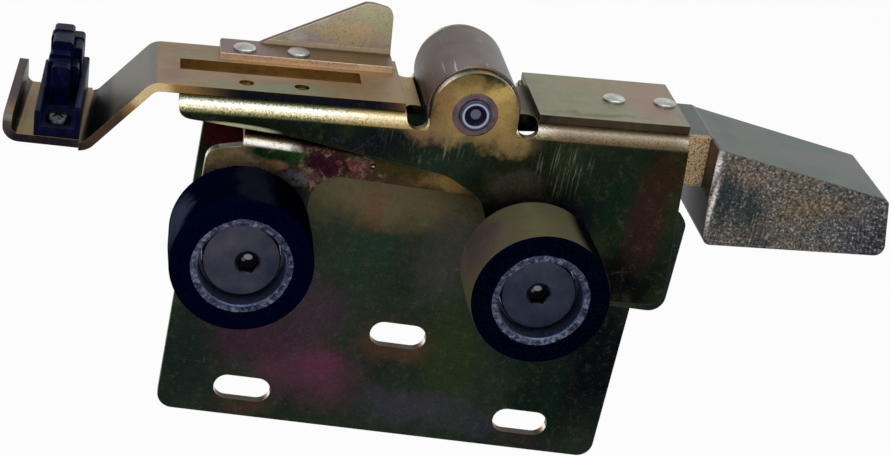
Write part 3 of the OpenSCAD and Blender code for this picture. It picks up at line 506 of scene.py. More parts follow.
# %% Clouds of the lever
WALL = -37.2
lever_spots = [
    ((-52, WALL, 102), (36, 12, 9), (16, 24, 18), 0.8),
    ((-27, WALL, 102), (17, 12, 7), (14, 20, 26), 0.9),
    ((-4, WALL, 101), (14, 12, 7), (28, 44, 34), 0.9),
    ((18, WALL, 97), (13, 12, 8), (74, 72, 58), 0.95),
    ((24, WALL, 91), (18, 12, 6), (62, 56, 60), 0.8),
    ((34, WALL, 104), (10, 12, 8), (36, 48, 30), 0.8),
    ((43, WALL, 96), (12, 12, 22), (14, 32, 20), 0.85),
    ((36, WALL, 90), (8, 12, 9), (16, 18, 30), 0.8),
    ((58, WALL, 90), (7, 12, 26), (44, 24, 24), 0.7, STEADY),
    ((60, WALL, 106), (10, 12, 8), (44, 32, 20), 0.8),
    ((47, WALL, 80), (6, 12, 7), (44, 46, 30), 0.4),
    ((54, WALL, 70), (16, 12, 13), (8, 8, 10), 0.95),
    ((1, WALL, 110), (26, 12, 5), (110, 92, 60), 0.95),
    ((2, WALL, 103), (14, 12, 4), (26, 38, 30), 0.9),
    ((-13, WALL, 109), (9, 12, 5), (124, 92, 72), 0.7),
    ((1, WALL, 118), (19, 12, 14), (160, 134, 82), 1.0),
    ((7, WALL, 124), (8, 12, 5), (192, 164, 96), 0.8),
    ((-3, WALL, 128), (8, 12, 3), (120, 98, 62), 0.7),
    ((12, WALL, 110), (6, 12, 5), (150, 124, 84), 0.6),
    ((1, WALL, 108), (7, 12, 2.5), (88, 78, 54), 0.5),
    ((-9, WALL, 118), (5, 12, 8), (128, 98, 66), 0.7),
    # A painted highlight: the bright thin line along the lever's lower left edge.
    ((-63, WALL, 101.7), (12, 3, 1.2), (196, 198, 156), 1.0, STEADY),
]
print("clouds on the lever:", len(lever_spots))

# %% [markdown]
# ## The lever's fold with its painted highlight, and its rubbed places
#
# The fold carries a painted highlight, nearly white at the left and gold at
# the right, and painted shade where it turns into the top and into the wall.
# Two places on the wall are rubbed, so the scratches are strong there.

# %% Finish of the lever
lever_fold_painted_light = [
    (0.10, (70, 76, 50)), (0.30, (124, 116, 78)), (0.50, (222, 212, 180)),
    (0.68, (248, 244, 230)), (0.84, (146, 152, 126)), (0.95, (74, 84, 62))]
lever_fold_light_spots = [
    ((-22, WALL, 112), (20, 14, 12), (186, 156, 100), 0.6),
    ((44, WALL, 116), (32, 20, 16), (94, 76, 58), 0.85, STEADY),
]
lever_finish = plating(
    "lever_plating",
    wall=((18, 26, 18), (34, 42, 26), lever_spots),
    # The spot on the top is painted shade in the notch beside the ear.
    top=((116, 96, 60), (150, 128, 78), [((19, -17, 114), (9, 24, 8), (56, 48, 36), 0.95)]),
    fold=(lever_fold_painted_light, lever_fold_light_spots),
    edge=(104, 100, 66), rubs=[((31, WALL, 104), (14, 12, 10)), ((-10, WALL, 105), (22, 12, 6))])
wear(lever_finish, ["lever_channel"])

# %% [markdown]
# ## The contact arm
#
# The strips that lie on the lever face up and look pale. The arm is tan, with
# sage and mauve clouds, and its slope darkens towards the foot. Its cut edge
# faces forward, so for the graph it is a wall, and its tones paint the light:
# a painted highlight in gold at the first bend, and painted shade, dark brown
# round the foot and almost black along the lever. Painted shade also darkens
# the concave bends. Those changes are sharp, so their spots are steady.

# %% Finish of the contact arm
arm_finish = plating(
    "arm_plating",
    wall=((120, 90, 52), (150, 116, 70), [
        # Painted shade along the lever and round the foot, a painted highlight at the first bend.
        ((-46, -33, 112), (40, 8, 14), (16, 20, 28), 1.0, STEADY),
        ((-102, -34, 93), (14, 12, 12), (62, 48, 40), 0.95, STEADY),
        ((-90, -34, 107), (8, 12, 7), (216, 192, 146), 0.85, STEADY),
        ((-118, -34, 86), (19, 12, 7), (30, 26, 32), 1.0, STEADY),
        ((-130, -16, 92), (8, 34, 12), (72, 60, 62), 1.0, STEADY),
        # Painted shade in the crease inside the tip.
        ((-124, -12, 93), (2.5, 30, 8), (16, 20, 34), 0.9, STEADY)]),
    top=((118, 98, 70), (138, 114, 84), [
        ((-58, -30, 113), (34, 7, 8), (104, 114, 84), 0.95),
        ((-76, -12, 113), (12, 7, 8), (112, 116, 88), 0.7),
        ((-84, -24, 113), (6, 12, 8), (122, 90, 78), 0.8),
        ((-46, -9, 113), (18, 7, 6), (150, 120, 92), 0.9),
        ((-126, -16, 97), (8, 34, 5), (72, 60, 62), 1.0, STEADY),
        ((-91, -38, 112), (5, 8, 8), (142, 104, 108), 0.7),
        ((-26, -28, 114), (10, 10, 8), (132, 106, 84), 0.8),
        ((-121, -27, 88), (5, 11, 6), (122, 116, 72), 0.8),
        ((-119, -6, 89), (6, 14, 6), (124, 98, 80), 0.8),
        ((-105, -16, 89), (5, 20, 5), (104, 92, 66), 0.7)]),
    fold=([(0.2, (84, 82, 70)), (0.7, (100, 98, 88))], [
        ((-95, -36, 103), (8, 12, 10), (66, 64, 60), 0.7),
        # Painted shade in the concave bends between slope and foot and inside the tip.
        ((-102.5, -18, 93), (6, 44, 8), (14, 12, 20), 1.0, STEADY),
        ((-125, -16, 89), (5, 40, 5), (24, 22, 30), 0.9)]),
    edge=(150, 122, 78), rough=0.4, wear_and_highlight=0.35)
wear(arm_finish, ["contact_arm"])

# %% [markdown]
# ## The cover plate
#
# The plate over the hook's end is sage, with tan and mauve clouds and a brown
# line along its front. Its edges look less worn than those of the channels,
# so they get a smaller amount of wear.

# %% Finish of the cover plate
cover_finish = plating(
    "cover_plating",
    wall=((50, 43, 35), (66, 57, 45), [
        # Painted shade on the left cut edge, in the notch beside the ear.
        ((22, -16, 118), (3, 30, 8), (30, 27, 24), 0.95, STEADY)]),
    top=((108, 106, 82), (124, 122, 96), [
        ((40, -6, 120), (18, 9, 8), (124, 106, 84), 0.7),
        ((58, -16, 118), (10, 26, 8), (132, 98, 88), 0.85),
        ((30, -27, 119), (16, 8, 8), (112, 118, 86), 0.6),
        ((38, -31, 118), (22, 2.4, 6), (88, 72, 54), 0.7)]),
    fold=([(0.2, (110, 104, 84)), (0.9, (126, 120, 96))], []),
    edge=(120, 92, 60), wear_and_highlight=0.3)
wear(cover_finish, ["hook_plate"])

# %% [markdown]
# ## The fin bracket
#
# The bracket's fin stands up and catches the light from the front left, and
# that light is painted into its cream wall tone, the palest of all, with sage
# and gold clouds and a painted highlight as a bright line at its root. Its
# foot lies flat and is a greyish mauve, and painted shade darkens the fold
# between foot and fin.

# %% Finish of the fin bracket
fin_finish = plating(
    "fin_plating",
    wall=((192, 178, 158), (212, 198, 176), [
        ((-26, 0, 126), (10, 8, 7), (184, 186, 146), 0.8),
        ((-33, 0, 121), (11, 8, 5), (222, 196, 152), 0.7),
        ((-46, 0, 118), (14, 8, 4), (192, 180, 184), 0.8),
        # A painted highlight: the bright line along the foot.
        ((-46, -11, 113.2), (40, 4, 6), (255, 226, 190), 1.0, STEADY)]),
    top=((104, 90, 82), (116, 98, 84), [
        ((-64, -6, 114), (10, 10, 6), (118, 86, 102), 0.85),
        ((-34, -4, 116), (16, 10, 6), (112, 98, 66), 0.8)]),
    # The fold tones are painted shade between foot and fin.
    fold=([(0.2, (150, 134, 108)), (0.9, (74, 60, 50))], []),
    edge=(226, 196, 150), wear_and_highlight=0.5)
wear(fin_finish, ["fin_bracket"])

# %% [markdown]
# ## The tube
#
# The tube between the ears was turned, then plated: its film is a brown
# mauve, darker at the left, with pale rubs along it. It faces every way round
# its axis, so the sheet's three tones would draw stripes on it. It gets a
# short graph of its own, with a noise stretched along Y for the rubs.

# %% Finish of the tube
def turned_tube():
    f = Finish("tube_plating", metallic=1.0, roughness=0.4)
    cloud = f.noise(0.12, detail=4, rough=0.6, bent=0.5)
    colour = f.ramp(cloud, [(0.34, srgb(70, 58, 55)), (0.66, srgb(88, 76, 73))])
    colour = f.paint(colour, [
        ((-13, -17, 118), (9, 40, 16), (74, 54, 52), 0.9),
        # Painted shade along the tube's upper right.
        ((10, -17, 124), (6, 40, 12), (62, 56, 58), 0.85),
        # A painted highlight along the tube's top.
        ((-4, -32, 128), (7, 12, 6), (110, 98, 92), 0.7)])
    rubs = f.noise(0.9, detail=4, rough=0.7, stretch=(1, 0.05, 1))
    colour = f.mix(f.between(rubs, 0.60, 0.72, 0, 0.6), colour, srgb(196, 190, 186))
    colour = f.mix(f.maths("MULTIPLY", f.edges(0.4), 0.6), colour, srgb(206, 184, 150))
    f.colour(colour)
    f.bump(rubs, 0.02, edge_radius=0.3)
    return f


wear(turned_tube(), ["pivot_boss"])

# %% [markdown]
# ## Pin, bushes and fasteners
#
# Turned steel is plain, so one function serves all of it: two tones that
# drift a little, and a fine grain. Rings and cups that the lathe cut have
# sharp borders, so they are spots with hardly any soft edge. The pin shows a
# pale lilac ring round a cup, in a purple grey bush; the cup's dark is painted
# shade and the pale dot in it a painted highlight. The rivets' heads are
# struck by a die and shine silver. Nuts and washers are yellow plated.

# %% Plain steel as a function of its tones
def plain_steel(name, light, dark, waves=0.25, rough=0.34, edge=None, depth=0.02, paint=()):
    """Bare or plated steel. paint is a list of places, radii and tones with hard borders."""
    f = Finish(name, metallic=1.0, roughness=rough)
    drift = f.noise(waves, detail=4, rough=0.65)
    colour = f.ramp(drift, [(0.32, srgb(*dark)), (0.68, srgb(*light))])
    for place, radius, tone in paint:
        colour = f.mix(f.spot(place, radius, soft=0.12, straight=True), colour, srgb(*tone))
    colour = f.mix(f.maths("MULTIPLY", f.edges(0.25), 0.5), colour, srgb(*(edge or light)))
    f.colour(colour)
    grain = f.noise(2.6, detail=3)
    f.rough(f.between(grain, 0.2, 0.8, rough - 0.06, rough + 0.1))
    f.bump(grain, depth, edge_radius=0.18)
    return f


# %% Finish of the pin, the bushes and the fasteners
PIVOT_X, PIVOT_Z = 1, 115.7
pin_finish = plain_steel(
    "pin_steel", (70, 74, 92), (48, 50, 68), waves=0.6, edge=(90, 94, 112), paint=[
        ((PIVOT_X, -38, PIVOT_Z), (4.0, 9, 4.0), (158, 164, 186)),
        # Painted shade in the pin's cup, and a painted highlight at its centre.
        ((PIVOT_X, -38, PIVOT_Z), (3.2, 9, 3.2), (18, 20, 40)),
        ((PIVOT_X + 0.2, -36.6, PIVOT_Z), (1.6, 1.6, 1.6), (92, 88, 104))])
bush_finish = plain_steel(
    "bush_steel", (110, 94, 94), (72, 62, 70), waves=0.3, rough=0.42, edge=(96, 84, 80),
    paint=[((PIVOT_X, -37, PIVOT_Z), (5.0, 4, 5.0), (34, 32, 48))])
rivet_finish = plain_steel("rivet_steel", (176, 180, 174), (136, 138, 134), rough=0.28)
screw_finish = plain_steel("screw_steel", (92, 94, 100), (30, 34, 42), waves=0.5, rough=0.22)
fastener_finish = plain_steel("fastener_plating", (176, 158, 104), (124, 110, 78), rough=0.32)
wear(pin_finish, ["pivot_pin"])
wear(bush_finish, ["ear_bush_front", "ear_bush_rear"])
wear(rivet_finish, ["arm_rivets", "hook_rivets"])
wear(screw_finish, ["contact_screw"])
wear(fastener_finish, ["left_washer", "left_nut", "right_washer", "right_nut"])

# %% [markdown]
# ## The cast hook
#
# The head is a rough casting: its sides keep the sand's grains and sparkle
# like dark bronze, with scraped patches of upright dark strokes near the
# catch. The top was ground, so it is smoother, a grey green with a little
# mauve, and so is the catch face at the left. One fine noise makes the
# grains twice, as pale and dark specks of colour and as pits in the bump, so
# that a dark speck always lies in a pit, as it does on real cast iron.

# %% The sides and the ground faces
def cast_sides(f, grains):
    """Two cloudy tones with specks, scraped strokes, and painted highlights by the catch."""
    clouds = f.noise(0.05, detail=5, rough=0.65, bent=0.5, shift=(11, 4, 2))
    side = f.ramp(clouds, [(0.34, srgb(80, 78, 78)), (0.66, srgb(100, 92, 82))])
    side = f.paint(side, [
        ((71, -25, 108), (7, 7, 14), (214, 182, 138), 1.0, STEADY),
        ((110, -34, 100), (16, 8, 8), (104, 90, 66), 0.7),
        ((122, -34, 93), (20, 8, 12), (70, 74, 80), 0.7),
        ((86, -34, 108), (12, 8, 6), (112, 94, 84), 0.7),
        ((131, -34, 92), (11, 8, 18), (50, 52, 60), 0.85),
        ((83, -34, 98), (9, 8, 14), (52, 60, 64), 0.75)])
    side = f.mix(f.between(grains, 0.53, 0.68, 0, 0.58), side, srgb(190, 182, 166))
    side = f.mix(f.between(grains, 0.48, 0.36, 0, 0.74), side, srgb(20, 22, 28))
    strokes = f.noise(0.7, detail=3, rough=0.7, stretch=(2.2, 2.2, 0.12), shift=(1, 7, 2))
    for place, radius in [((80, -34, 100), (7, 8, 13)), ((89, -34, 98), (8, 8, 9)),
                          ((94, -34, 90), (9, 8, 7))]:
        scraped = f.maths("MULTIPLY", f.spot(place, radius), f.between(strokes, 0.37, 0.50))
        side = f.mix(f.maths("MULTIPLY", scraped, 0.8), side, srgb(26, 42, 46))
    speckled = f.between(grains, 0.4, 0.55, 0.3, 0.9)
    # Painted highlights along the upright edge by the catch.
    for place, radius in [((75.7, -34.6, 110), (1.6, 3, 8)), ((77.2, -34.6, 98), (1.1, 3, 12))]:
        edge_highlight = f.spot(place, radius, soft=0.9, straight=True)
        side = f.mix(f.maths("MULTIPLY", edge_highlight, speckled), side, srgb(226, 224, 222))
    return side


def ground_faces(f, grains):
    """The tones of the ground top and of the catch face, from one slow noise."""
    ground = f.noise(0.05, detail=4, bent=0.6, shift=(3, 50, 7))
    top = f.ramp(ground, [(0.36, srgb(52, 66, 60)), (0.52, srgb(66, 76, 70)),
                          (0.66, srgb(80, 70, 78))])
    top = f.mix(f.between(grains, 0.56, 0.70, 0, 0.35), top, srgb(44, 52, 50))
    catch = f.ramp(ground, [(0.34, srgb(36, 34, 40)), (0.66, srgb(54, 48, 54))])
    return top, f.paint(catch, [((75, -31, 112), (4, 8, 9), (110, 88, 74), 0.9)])


# %% Finish of the hook
def cast_hook():
    """Sides, top and catch face chosen by where they face, and pitted where they are cast."""
    f = Finish("hook_iron", metallic=1.0, roughness=0.42)
    grains = f.noise(1.25, detail=3, rough=0.7)
    top, catch = ground_faces(f, grains)
    on_catch = f.between(f.facing("X"), -0.5, -0.9)
    on_top = f.between(f.facing("Z"), 0.6, 0.93)
    colour = f.mix(on_catch, cast_sides(f, grains), catch)
    colour = f.mix(on_top, colour, top)
    # A painted highlight on the edges.
    colour = f.mix(f.maths("MULTIPLY", f.edges(0.6), 0.3), colour, srgb(120, 122, 126))
    f.colour(colour)
    smooth = f.maths("MAXIMUM", on_top, on_catch)
    f.rough(f.between(smooth, 0, 1, 0.46, 0.4))
    pits = f.maths("MULTIPLY", grains, f.between(smooth, 0, 1, 1.0, 0.08))
    f.bump(pits, 0.55, edge_radius=0.5)
    return f


wear(cast_hook(), ["hook_block"])

# %% [markdown]
# ## The tyres
#
# The tyres are black rubber with a blue cast. The left tread is dark, the
# right one olive taupe, a painted reflection of the plating above it. Rubber
# reflects little, so its shader isn't metallic and has no shine, and the
# tones paint its sheen: painted reflections on the tops, left sides and edges
# of the treads, and painted shade at their upper right. The tread and the
# sides are told apart by how much they face along the roller's axis.

# %% Finish of the tyres
ROLLER_AXES = {"left": (-59.1, 71.65), "right": (25.68, 73.3)}


def rubber(name, tread, side, painted_light):
    """Rubber with painted light and shade on the tread, streaks round it and a fine grain."""
    f = Finish(name, metallic=0.0, roughness=0.5, shine=0.0)
    on_side = f.between(f.maths("ABSOLUTE", f.facing("Y")), 0.15, 0.5)
    tread_drift = f.noise(0.06, detail=4, rough=0.6, bent=0.5)
    tread_colour = f.ramp(tread_drift, [(0.35, srgb(*tread[0])), (0.65, srgb(*tread[1]))])
    tread_colour = f.paint(tread_colour, painted_light)
    streaks = f.noise(0.5, detail=3, rough=0.6, stretch=(1, 0.12, 1), shift=(8, 2, 6))
    tread_colour = f.mix(f.between(streaks, 0.60, 0.74, 0, 0.3), tread_colour, srgb(*tread[1]))
    grain = f.noise(1.4, detail=3, rough=0.7)
    side_colour = f.ramp(grain, [(0.40, srgb(*side[0])), (0.70, srgb(*side[1]))])
    colour = f.mix(on_side, tread_colour, side_colour)
    colour = f.mix(f.between(grain, 0.66, 0.80, 0, 0.2), colour, srgb(50, 58, 76))
    # A painted highlight on the edges.
    colour = f.mix(f.maths("MULTIPLY", f.edges(0.4), 0.5), colour, srgb(58, 68, 92))
    f.colour(colour)
    f.rough(f.between(grain, 0.3, 0.7, 0.42, 0.6))
    f.bump(grain, 0.05, edge_radius=0.3)
    return f


left_tyre_finish = rubber(
    # Grey painted reflections on the top and left of the tread, painted shade at its upper right.
    "left_rubber", ((0, 3, 18), (4, 7, 28)), ((0, 3, 20), (3, 9, 38)), [
        ((-57.5, -50, 92), (7, 30, 9), (34, 36, 42), 0.45),
        ((-46, -50, 87), (11, 30, 12), (0, 0, 4), 0.8, STEADY),
        ((-79.5, -52, 78), (6, 18, 13), (66, 72, 94), 0.7)])
right_tyre_finish = rubber(
    # An olive tread as a painted reflection of the plating, painted shade at its upper right.
    "right_rubber", ((92, 90, 62), (98, 86, 76)), ((0, 2, 12), (6, 12, 30)), [
        ((8, -46, 82), (7, 20, 9), (78, 64, 66), 0.8),
        ((21, -50, 94), (7, 24, 7), (104, 104, 68), 0.6),
        ((40, -50, 88), (10, 26, 9), (6, 10, 12), 1.0, STEADY)])
wear(left_tyre_finish, ["left_tyre"])
wear(right_tyre_finish, ["right_tyre"])

# %% [markdown]
# ## Hubs, bolts and bearings
#
# The hubs' front rings are mottled grey, their bores a dark blue grey. The
# bolts' heads are dull discs with a dark socket that catches the light at its
# bottom. A light placed to make just that glint would move with every view,
# so the glint is two small spots of a pale tone inside the socket.

# %% Finish of the hubs
def mottled_hub():
    """One mottled noise, in grey on what faces forward and in blue grey elsewhere."""
    f = Finish("hub_steel", metallic=1.0, roughness=0.45)
    mottle = f.noise(0.7, detail=5, rough=0.75, bent=0.4)
    ring = f.ramp(mottle, [(0.38, srgb(24, 28, 44)), (0.52, srgb(62, 66, 84)),
                           (0.66, srgb(116, 122, 140))])
    bore = f.ramp(mottle, [(0.36, srgb(72, 82, 112)), (0.66, srgb(108, 118, 148))])
    f.colour(f.mix(f.between(f.facing("Y"), -0.5, -0.8), bore, ring))
    f.bump(mottle, 0.08, edge_radius=0.2)
    return f


wear(mottled_hub(), ["left_hub", "right_hub"])

# %% Finish of the bolts, the bearings and the snap rings
BOLT_AXES = {"left": (-57.3, 71.0), "right": (25.7, 73.3)}
BOLT_TONES = {"left": ((74, 72, 82), (42, 46, 62)), "right": ((60, 64, 78), (34, 40, 56))}
for side, (x, z) in BOLT_AXES.items():
    light, dark = BOLT_TONES[side]
    bolt_finish = plain_steel(
        side + "_bolt_steel", light, dark, waves=0.09, rough=0.5, edge=(70, 74, 86), depth=0.03,
        # The socket's dark is painted shade; the two pale spots are its painted glint.
        paint=[((x, -56, z), (4.4, 3.3, 4.4), (22, 22, 28)),
               ((x + 0.3, -55.6, z), (1.3, 1.2, 0.9), (140, 140, 146)),
               ((x - 0.9, -55.6, z - 0.9), (0.6, 1.2, 0.6), (104, 104, 112))])
    wear(bolt_finish, [side + "_roller_bolt"])
bearing_finish = plain_steel("bearing_steel", (180, 182, 188), (140, 142, 150), rough=0.2)
spring_finish = plain_steel("spring_steel", (84, 88, 100), (46, 50, 62), rough=0.35)
wear(bearing_finish, [side + "_" + part for side in BOLT_AXES for part in (
    "bearing_inner", "bearing_outer", "bearing_balls", "spacer")])
wear(spring_finish, ["left_snap_ring", "right_snap_ring"])

# %% [markdown]
# ## The contact carrier
#
# The carrier is a black moulding with a strong blue cast, greyer on top as a
# painted light from above, and the bridge behind it is rolled brass. The
# painted light falls only on what faces up, and most on the tower, so the
# grey is held back by both: how far a face looks up, and a spot round the
# tower. Its edges get a faint painted highlight.

# %% Finish of the carrier and its bridge
def moulded_plastic():
    """Blue black drift, with a grey painted light where a face looks up."""
    f = Finish("carrier_plastic", metallic=0.0, roughness=0.34, shine=0.04)
    drift = f.noise(0.35, detail=4, rough=0.65)
    colour = f.ramp(drift, [(0.36, srgb(0, 0, 26)), (0.58, srgb(3, 8, 46)),
                            (0.72, srgb(18, 32, 78))])
    # A grey painted light for what faces up.
    painted_light = f.ramp(drift, [(0.36, srgb(26, 30, 46)), (0.66, srgb(44, 48, 64))])
    high = f.spot((-112, -2, 110), (16, 12, 9), soft=0.4, straight=True)
    top_light = f.maths("MAXIMUM", high, 0.35)
    on_top = f.maths("MULTIPLY", f.between(f.facing("Z"), 0.5, 0.9), top_light)
    colour = f.mix(on_top, colour, painted_light)
    # A painted highlight on the edges.
    colour = f.mix(f.maths("MULTIPLY", f.edges(0.5), 0.25), colour, srgb(50, 60, 92))
    f.colour(colour)
    grain = f.noise(1.2, detail=3)
    f.rough(f.between(grain, 0.3, 0.7, 0.28, 0.46))
    f.bump(grain, 0.05, edge_radius=0.3)
    return f


brass_finish = plain_steel("bridge_brass", (206, 170, 92), (150, 112, 52), rough=0.3)
wear(moulded_plastic(), ["contact_carrier"])
wear(brass_finish, ["contact_bridge"])

# %% [markdown]
# ## Surfaces from a grid of points
#
# The flash, the shields and the threads are all one small cross-section
# carried round an axis. Spin and screw modifiers could do the plain ones, but
# not an edge that wanders. Worked out with numpy, each is one array of
# points, rows by columns, and the faces join each point to its neighbours in
# the next row and column.

# %% From points to a piece
def surface(name, grid, body, finish, around=True):
    """A mesh from an array of points, rows by columns, in metres. Each row is a closed
    cross-section; around also joins the last row to the first, or else the ends are capped."""
    rows, columns = grid.shape[:2]
    row = np.arange(rows if around else rows - 1)[:, None]
    column = np.arange(columns)[None, :]
    next_row, next_column = (row + 1) % rows, (column + 1) % columns
    corners = np.stack(np.broadcast_arrays(
        row * columns + column, row * columns + next_column,
        next_row * columns + next_column, next_row * columns + column), axis=-1)
    faces = corners.reshape(-1, 4).tolist()
    if not around:
        last = (rows - 1) * columns
        faces += [list(range(columns))[::-1], [last + i for i in range(columns)]]
    mesh = bpy.data.meshes.new(name)
    mesh.from_pydata(grid.reshape(-1, 3).tolist(), [], faces)
    mesh.shade_smooth()
    mesh.materials.append(finish.material)
    made = bpy.data.objects.new(name, mesh)
    bpy.context.scene.collection.objects.link(made)
    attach(made, body)
    print(name, "faces:", len(faces))


def turned(centre, radius, depth, turns):
    """Points of cross-sections carried round an axis along Y: centre plus radius times
    (cos, sin) of the turn in X and Z, at the given depth in Y. All in millimetres."""
    x = centre[0] + radius * np.cos(turns)
    z = centre[1] + radius * np.sin(turns)
    return np.stack(np.broadcast_arrays(x, depth, z), axis=-1) * MM


# %% [markdown]
# ## Ragged rubber flash
#
# When the tyres were moulded, a little rubber crept over the hub's rim and
# tore off raggedly. In the solid model this would need hundreds of faces.
# Here it is one flat strip round the hub, and only its inner edge wanders.
# Waves that fit a whole number of times round the circle close on
# themselves, and a seed keeps their phases the same in every run.

# %% Make the flash
FLASH_INNER, FLASH_OUTER = 14.0, 15.3
FLASH_FRONT, FLASH_BACK = -63.9, -63.3
FLASH_REACH = 0.6
FLASH_LIMITS = (13.0, 14.7)
FLASH_STEPS = 360
WAVE_COUNTS = np.array([2, 3, 5, 8, 13, 21, 34, 47])
WAVE_HEIGHTS = 0.5 / WAVE_COUNTS ** 0.55


def flash(side, seed):
    """A flat strip round the hub. Its inner edge is the inner radius plus a sum of waves
    round the circle, each with its own count and phase and a height that falls with its
    count, and its face rises and falls a little with the same sum."""
    chance = np.random.default_rng(seed)
    turns = np.linspace(0, 2 * np.pi, FLASH_STEPS, endpoint=False)[:, None]
    phases = chance.uniform(0, 2 * np.pi, len(WAVE_COUNTS))
    ragged = (WAVE_HEIGHTS * np.sin(WAVE_COUNTS * turns + phases)).sum(axis=1)[:, None]
    inner = np.clip(FLASH_INNER + FLASH_REACH * ragged, *FLASH_LIMITS)
    across = np.array([0.0, 0.25, 0.6, 1.0, 1.0, 0.0])[None, :]
    rise = np.array([0.55, 1.0, 1.0, 0.5, 0.0, 0.0])[None, :]
    radius = inner + (FLASH_OUTER - inner) * across
    depth = FLASH_BACK + (FLASH_FRONT - FLASH_BACK) * rise * (1 + 0.15 * ragged)
    grid = turned(ROLLER_AXES[side], radius, depth, turns)[:, ::-1]
    surface(side + "_flash", grid, side + "_roller", left_tyre_finish)


flash("left", seed=4)
flash("right", seed=9)

# %% [markdown]
# ## Pressed shields of the bearings
#
# A shield is a thin steel ring, pressed into the outer race to keep dirt out.
# It has a shallow groove, and a cosine makes one that starts and ends flat.
# Each roller has one in front and one behind, facing opposite ways, so the
# front one's cross-section runs the other way round.

# %% Make the shields
SHIELD_INNER, SHIELD_WIDTH = 8.0, 3.3
SHIELD_DIP, SHIELD_SHEET = 0.35, 0.3
SHIELD_STEPS = 96
shield_finish = plain_steel("shield_steel", (132, 134, 142), (96, 98, 106), rough=0.3)


def shield(side, end, face, outwards):
    """A thin ring with a shallow pressed groove: the face's place plus a cosine dip
    halfway between the two races. outwards is 1 or -1, the way it faces along Y."""
    turns = np.linspace(0, 2 * np.pi, SHIELD_STEPS, endpoint=False)[:, None]
    out = np.linspace(0, 1, 13)
    dip = SHIELD_DIP * (1 - np.cos(2 * np.pi * out)) / 2
    near, far = face - outwards * dip, face - outwards * (dip + SHIELD_SHEET)
    radius = SHIELD_INNER + SHIELD_WIDTH * np.concatenate([out, out[::-1]])[None, :]
    depth = np.concatenate([near, far[::-1]])[None, :]
    grid = turned(ROLLER_AXES[side], radius, depth, turns)
    surface(side + "_" + end + "_shield", grid if outwards > 0 else grid[:, ::-1],
            side + "_roller", shield_finish)


for side in ROLLER_AXES:
    shield(side, "front", face=-54.95, outwards=-1)
    shield(side, "rear", face=-42.95, outwards=1)

# %% [markdown]
# ## Threads of the roller bolts
#
# The end of each roller bolt stands a little out of its nut and shows its
# thread. In the solids that end is a plain cylinder. A bump would look right
# from the side but leave a smooth outline, so the ridge is real: a small
# cross-section that moves along the bolt as it goes round.

# %% Make the threads
PITCH_MM = 1.25
THREAD_RADIUS = 3.95
STEPS_IN_A_TURN = 48
STEPS_OF_A_FADE = 12


def thread(side, start, end, body):
    """A ridge wound on the bolt: its angle grows by one turn in each pitch of depth, and
    its height fades in and out over the first and last quarter turn."""
    count = int(STEPS_IN_A_TURN * (end - start) / PITCH_MM)
    along = np.linspace(0, 1, count)[:, None]
    middle = start + (end - start) * along
    turns = 2 * np.pi * (middle - start) / PITCH_MM
    fade = np.clip(np.minimum(along, 1 - along) * count / STEPS_OF_A_FADE, 0.05, 1)
    width = np.array([-0.5, 0.0, 0.5, 0.0])[None, :] * PITCH_MM * 0.8
    height = np.array([0.0, 0.32, 0.0, -0.2])[None, :]
    grid = turned(BOLT_AXES[side], THREAD_RADIUS + height * fade, middle + width * fade, turns)
    surface(side + "_thread", grid[:, ::-1], body, fastener_finish,
            around=False)


thread("left", start=-22.2, end=-20.9, body="base")
thread("right", start=-25.9, end=-24.6, body="lever")

# %% [markdown]
# ## White to the eye, dimmer as light
#
# Metal shows what stands round it, so the floor and the world are plain white
# to the camera and in reflections. As white lights they would wash the lock
# out, so for the light that they give they are dimmer. The Light Path node
# tells the two apart, and one function serves the floor and the world.

# %% A shader that is white where it is looked at
def seen_white(tree, dim_shader, whiteness):
    """Mixes a shader with plain white for camera, glossy and transmission rays."""
    path = tree.nodes.new("ShaderNodeLightPath")
    rays = path.outputs["Is Camera Ray"]
    for name in ("Is Glossy Ray", "Is Transmission Ray"):
        either = tree.nodes.new("ShaderNodeMath")
        either.operation = "MAXIMUM"
        tree.links.new(rays, either.inputs[0])
        tree.links.new(path.outputs[name], either.inputs[1])
        rays = either.outputs[0]
    amount = tree.nodes.new("ShaderNodeMath")
    amount.operation = "MULTIPLY"
    tree.links.new(rays, amount.inputs[0])
    amount.inputs[1].default_value = whiteness
    white = tree.nodes.new("ShaderNodeEmission")
    white.inputs["Color"].default_value = (1, 1, 1, 1)
    blend = tree.nodes.new("ShaderNodeMixShader")
    tree.links.new(amount.outputs[0], blend.inputs[0])
    tree.links.new(dim_shader, blend.inputs[1])
    tree.links.new(white.outputs[0], blend.inputs[2])
    return blend.outputs[0]


# %% [markdown]
# ## The studio
#
# A pale floor lies well below the lock and keeps its soft shadow. One wide
# lamp above lights the tops, one at the front left adds a bright line to the
# painted highlight along each fold, and a weak one behind lifts the far
# edges. Small lamps would give hard spots of light that the plating doesn't
# show.

# %% The floor and the world
FLOOR_GAP = 0.10
FLOOR_HALF = 4.0
FLOOR_WHITENESS = 0.94

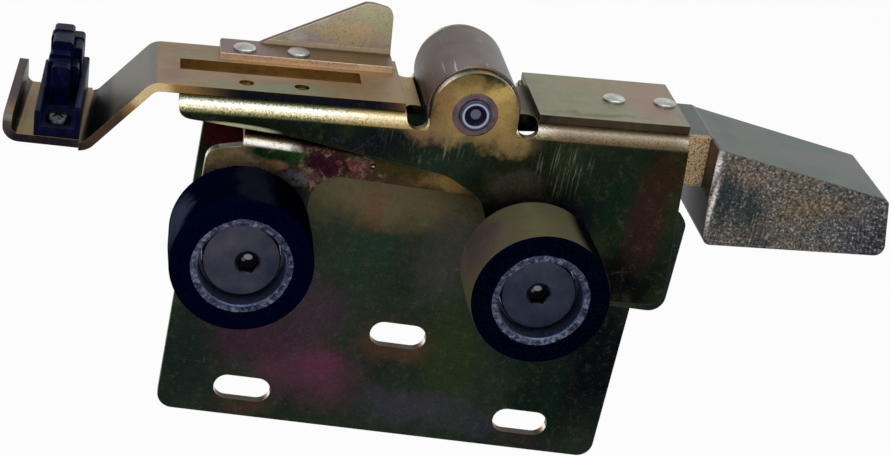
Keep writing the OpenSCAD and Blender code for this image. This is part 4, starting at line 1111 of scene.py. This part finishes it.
floor_z = cad_low[2] - FLOOR_GAP
floor_mesh = bpy.data.meshes.new("floor")
floor_mesh.from_pydata(
    [(x, y, floor_z) for x, y in ((-FLOOR_HALF, -FLOOR_HALF), (FLOOR_HALF, -FLOOR_HALF),
                                  (FLOOR_HALF, FLOOR_HALF), (-FLOOR_HALF, FLOOR_HALF))],
    [], [(0, 1, 2, 3)])
floor = bpy.data.objects.new("floor", floor_mesh)
bpy.context.scene.collection.objects.link(floor)
paper = Finish("floor_paper", metallic=0.0, roughness=0.9, shine=0.1)
paper.shader.inputs["Base Color"].default_value = (0.93, 0.93, 0.93, 1)
paper.tree.links.new(
    seen_white(paper.tree, paper.shader.outputs[0], FLOOR_WHITENESS),
    paper.tree.nodes["Material Output"].inputs["Surface"])
floor_mesh.materials.append(paper.material)

world = bpy.data.worlds.new("studio")
world.use_nodes = True
background = world.node_tree.nodes["Background"]
background.inputs["Color"].default_value = (0.86, 0.87, 0.90, 1)
background.inputs["Strength"].default_value = 0.45
world.node_tree.links.new(
    seen_white(world.node_tree, background.outputs[0], 1.0),
    world.node_tree.nodes["World Output"].inputs["Surface"])
bpy.context.scene.world = world
print("floor at", round(floor_z, 3), "m")

# %% The lamps
MIDDLE = (0.0, -0.02, 0.07)


def area_lamp(name, place, size, power):
    """A rectangular lamp at a place in metres, turned to the middle of the lock."""
    data = bpy.data.lights.new(name, "AREA")
    data.shape = "RECTANGLE"
    data.size, data.size_y = size
    data.energy = power
    lamp = bpy.data.objects.new(name, data)
    lamp.location = place
    lamp.rotation_euler = (Vector(MIDDLE) - Vector(place)).to_track_quat("-Z", "Y").to_euler()
    bpy.context.scene.collection.objects.link(lamp)
    print(name, power, "W")


area_lamp("lamp_above", (0.05, -0.28, 1.10), (1.1, 0.45), 3.0)
area_lamp("lamp_front", (-0.7, -1.15, 0.75), (0.9, 0.35), 4.0)
area_lamp("lamp_back", (0.7, 1.0, 0.9), (0.8, 0.5), 0.8)
bpy.context.scene.view_settings.view_transform = "Standard"
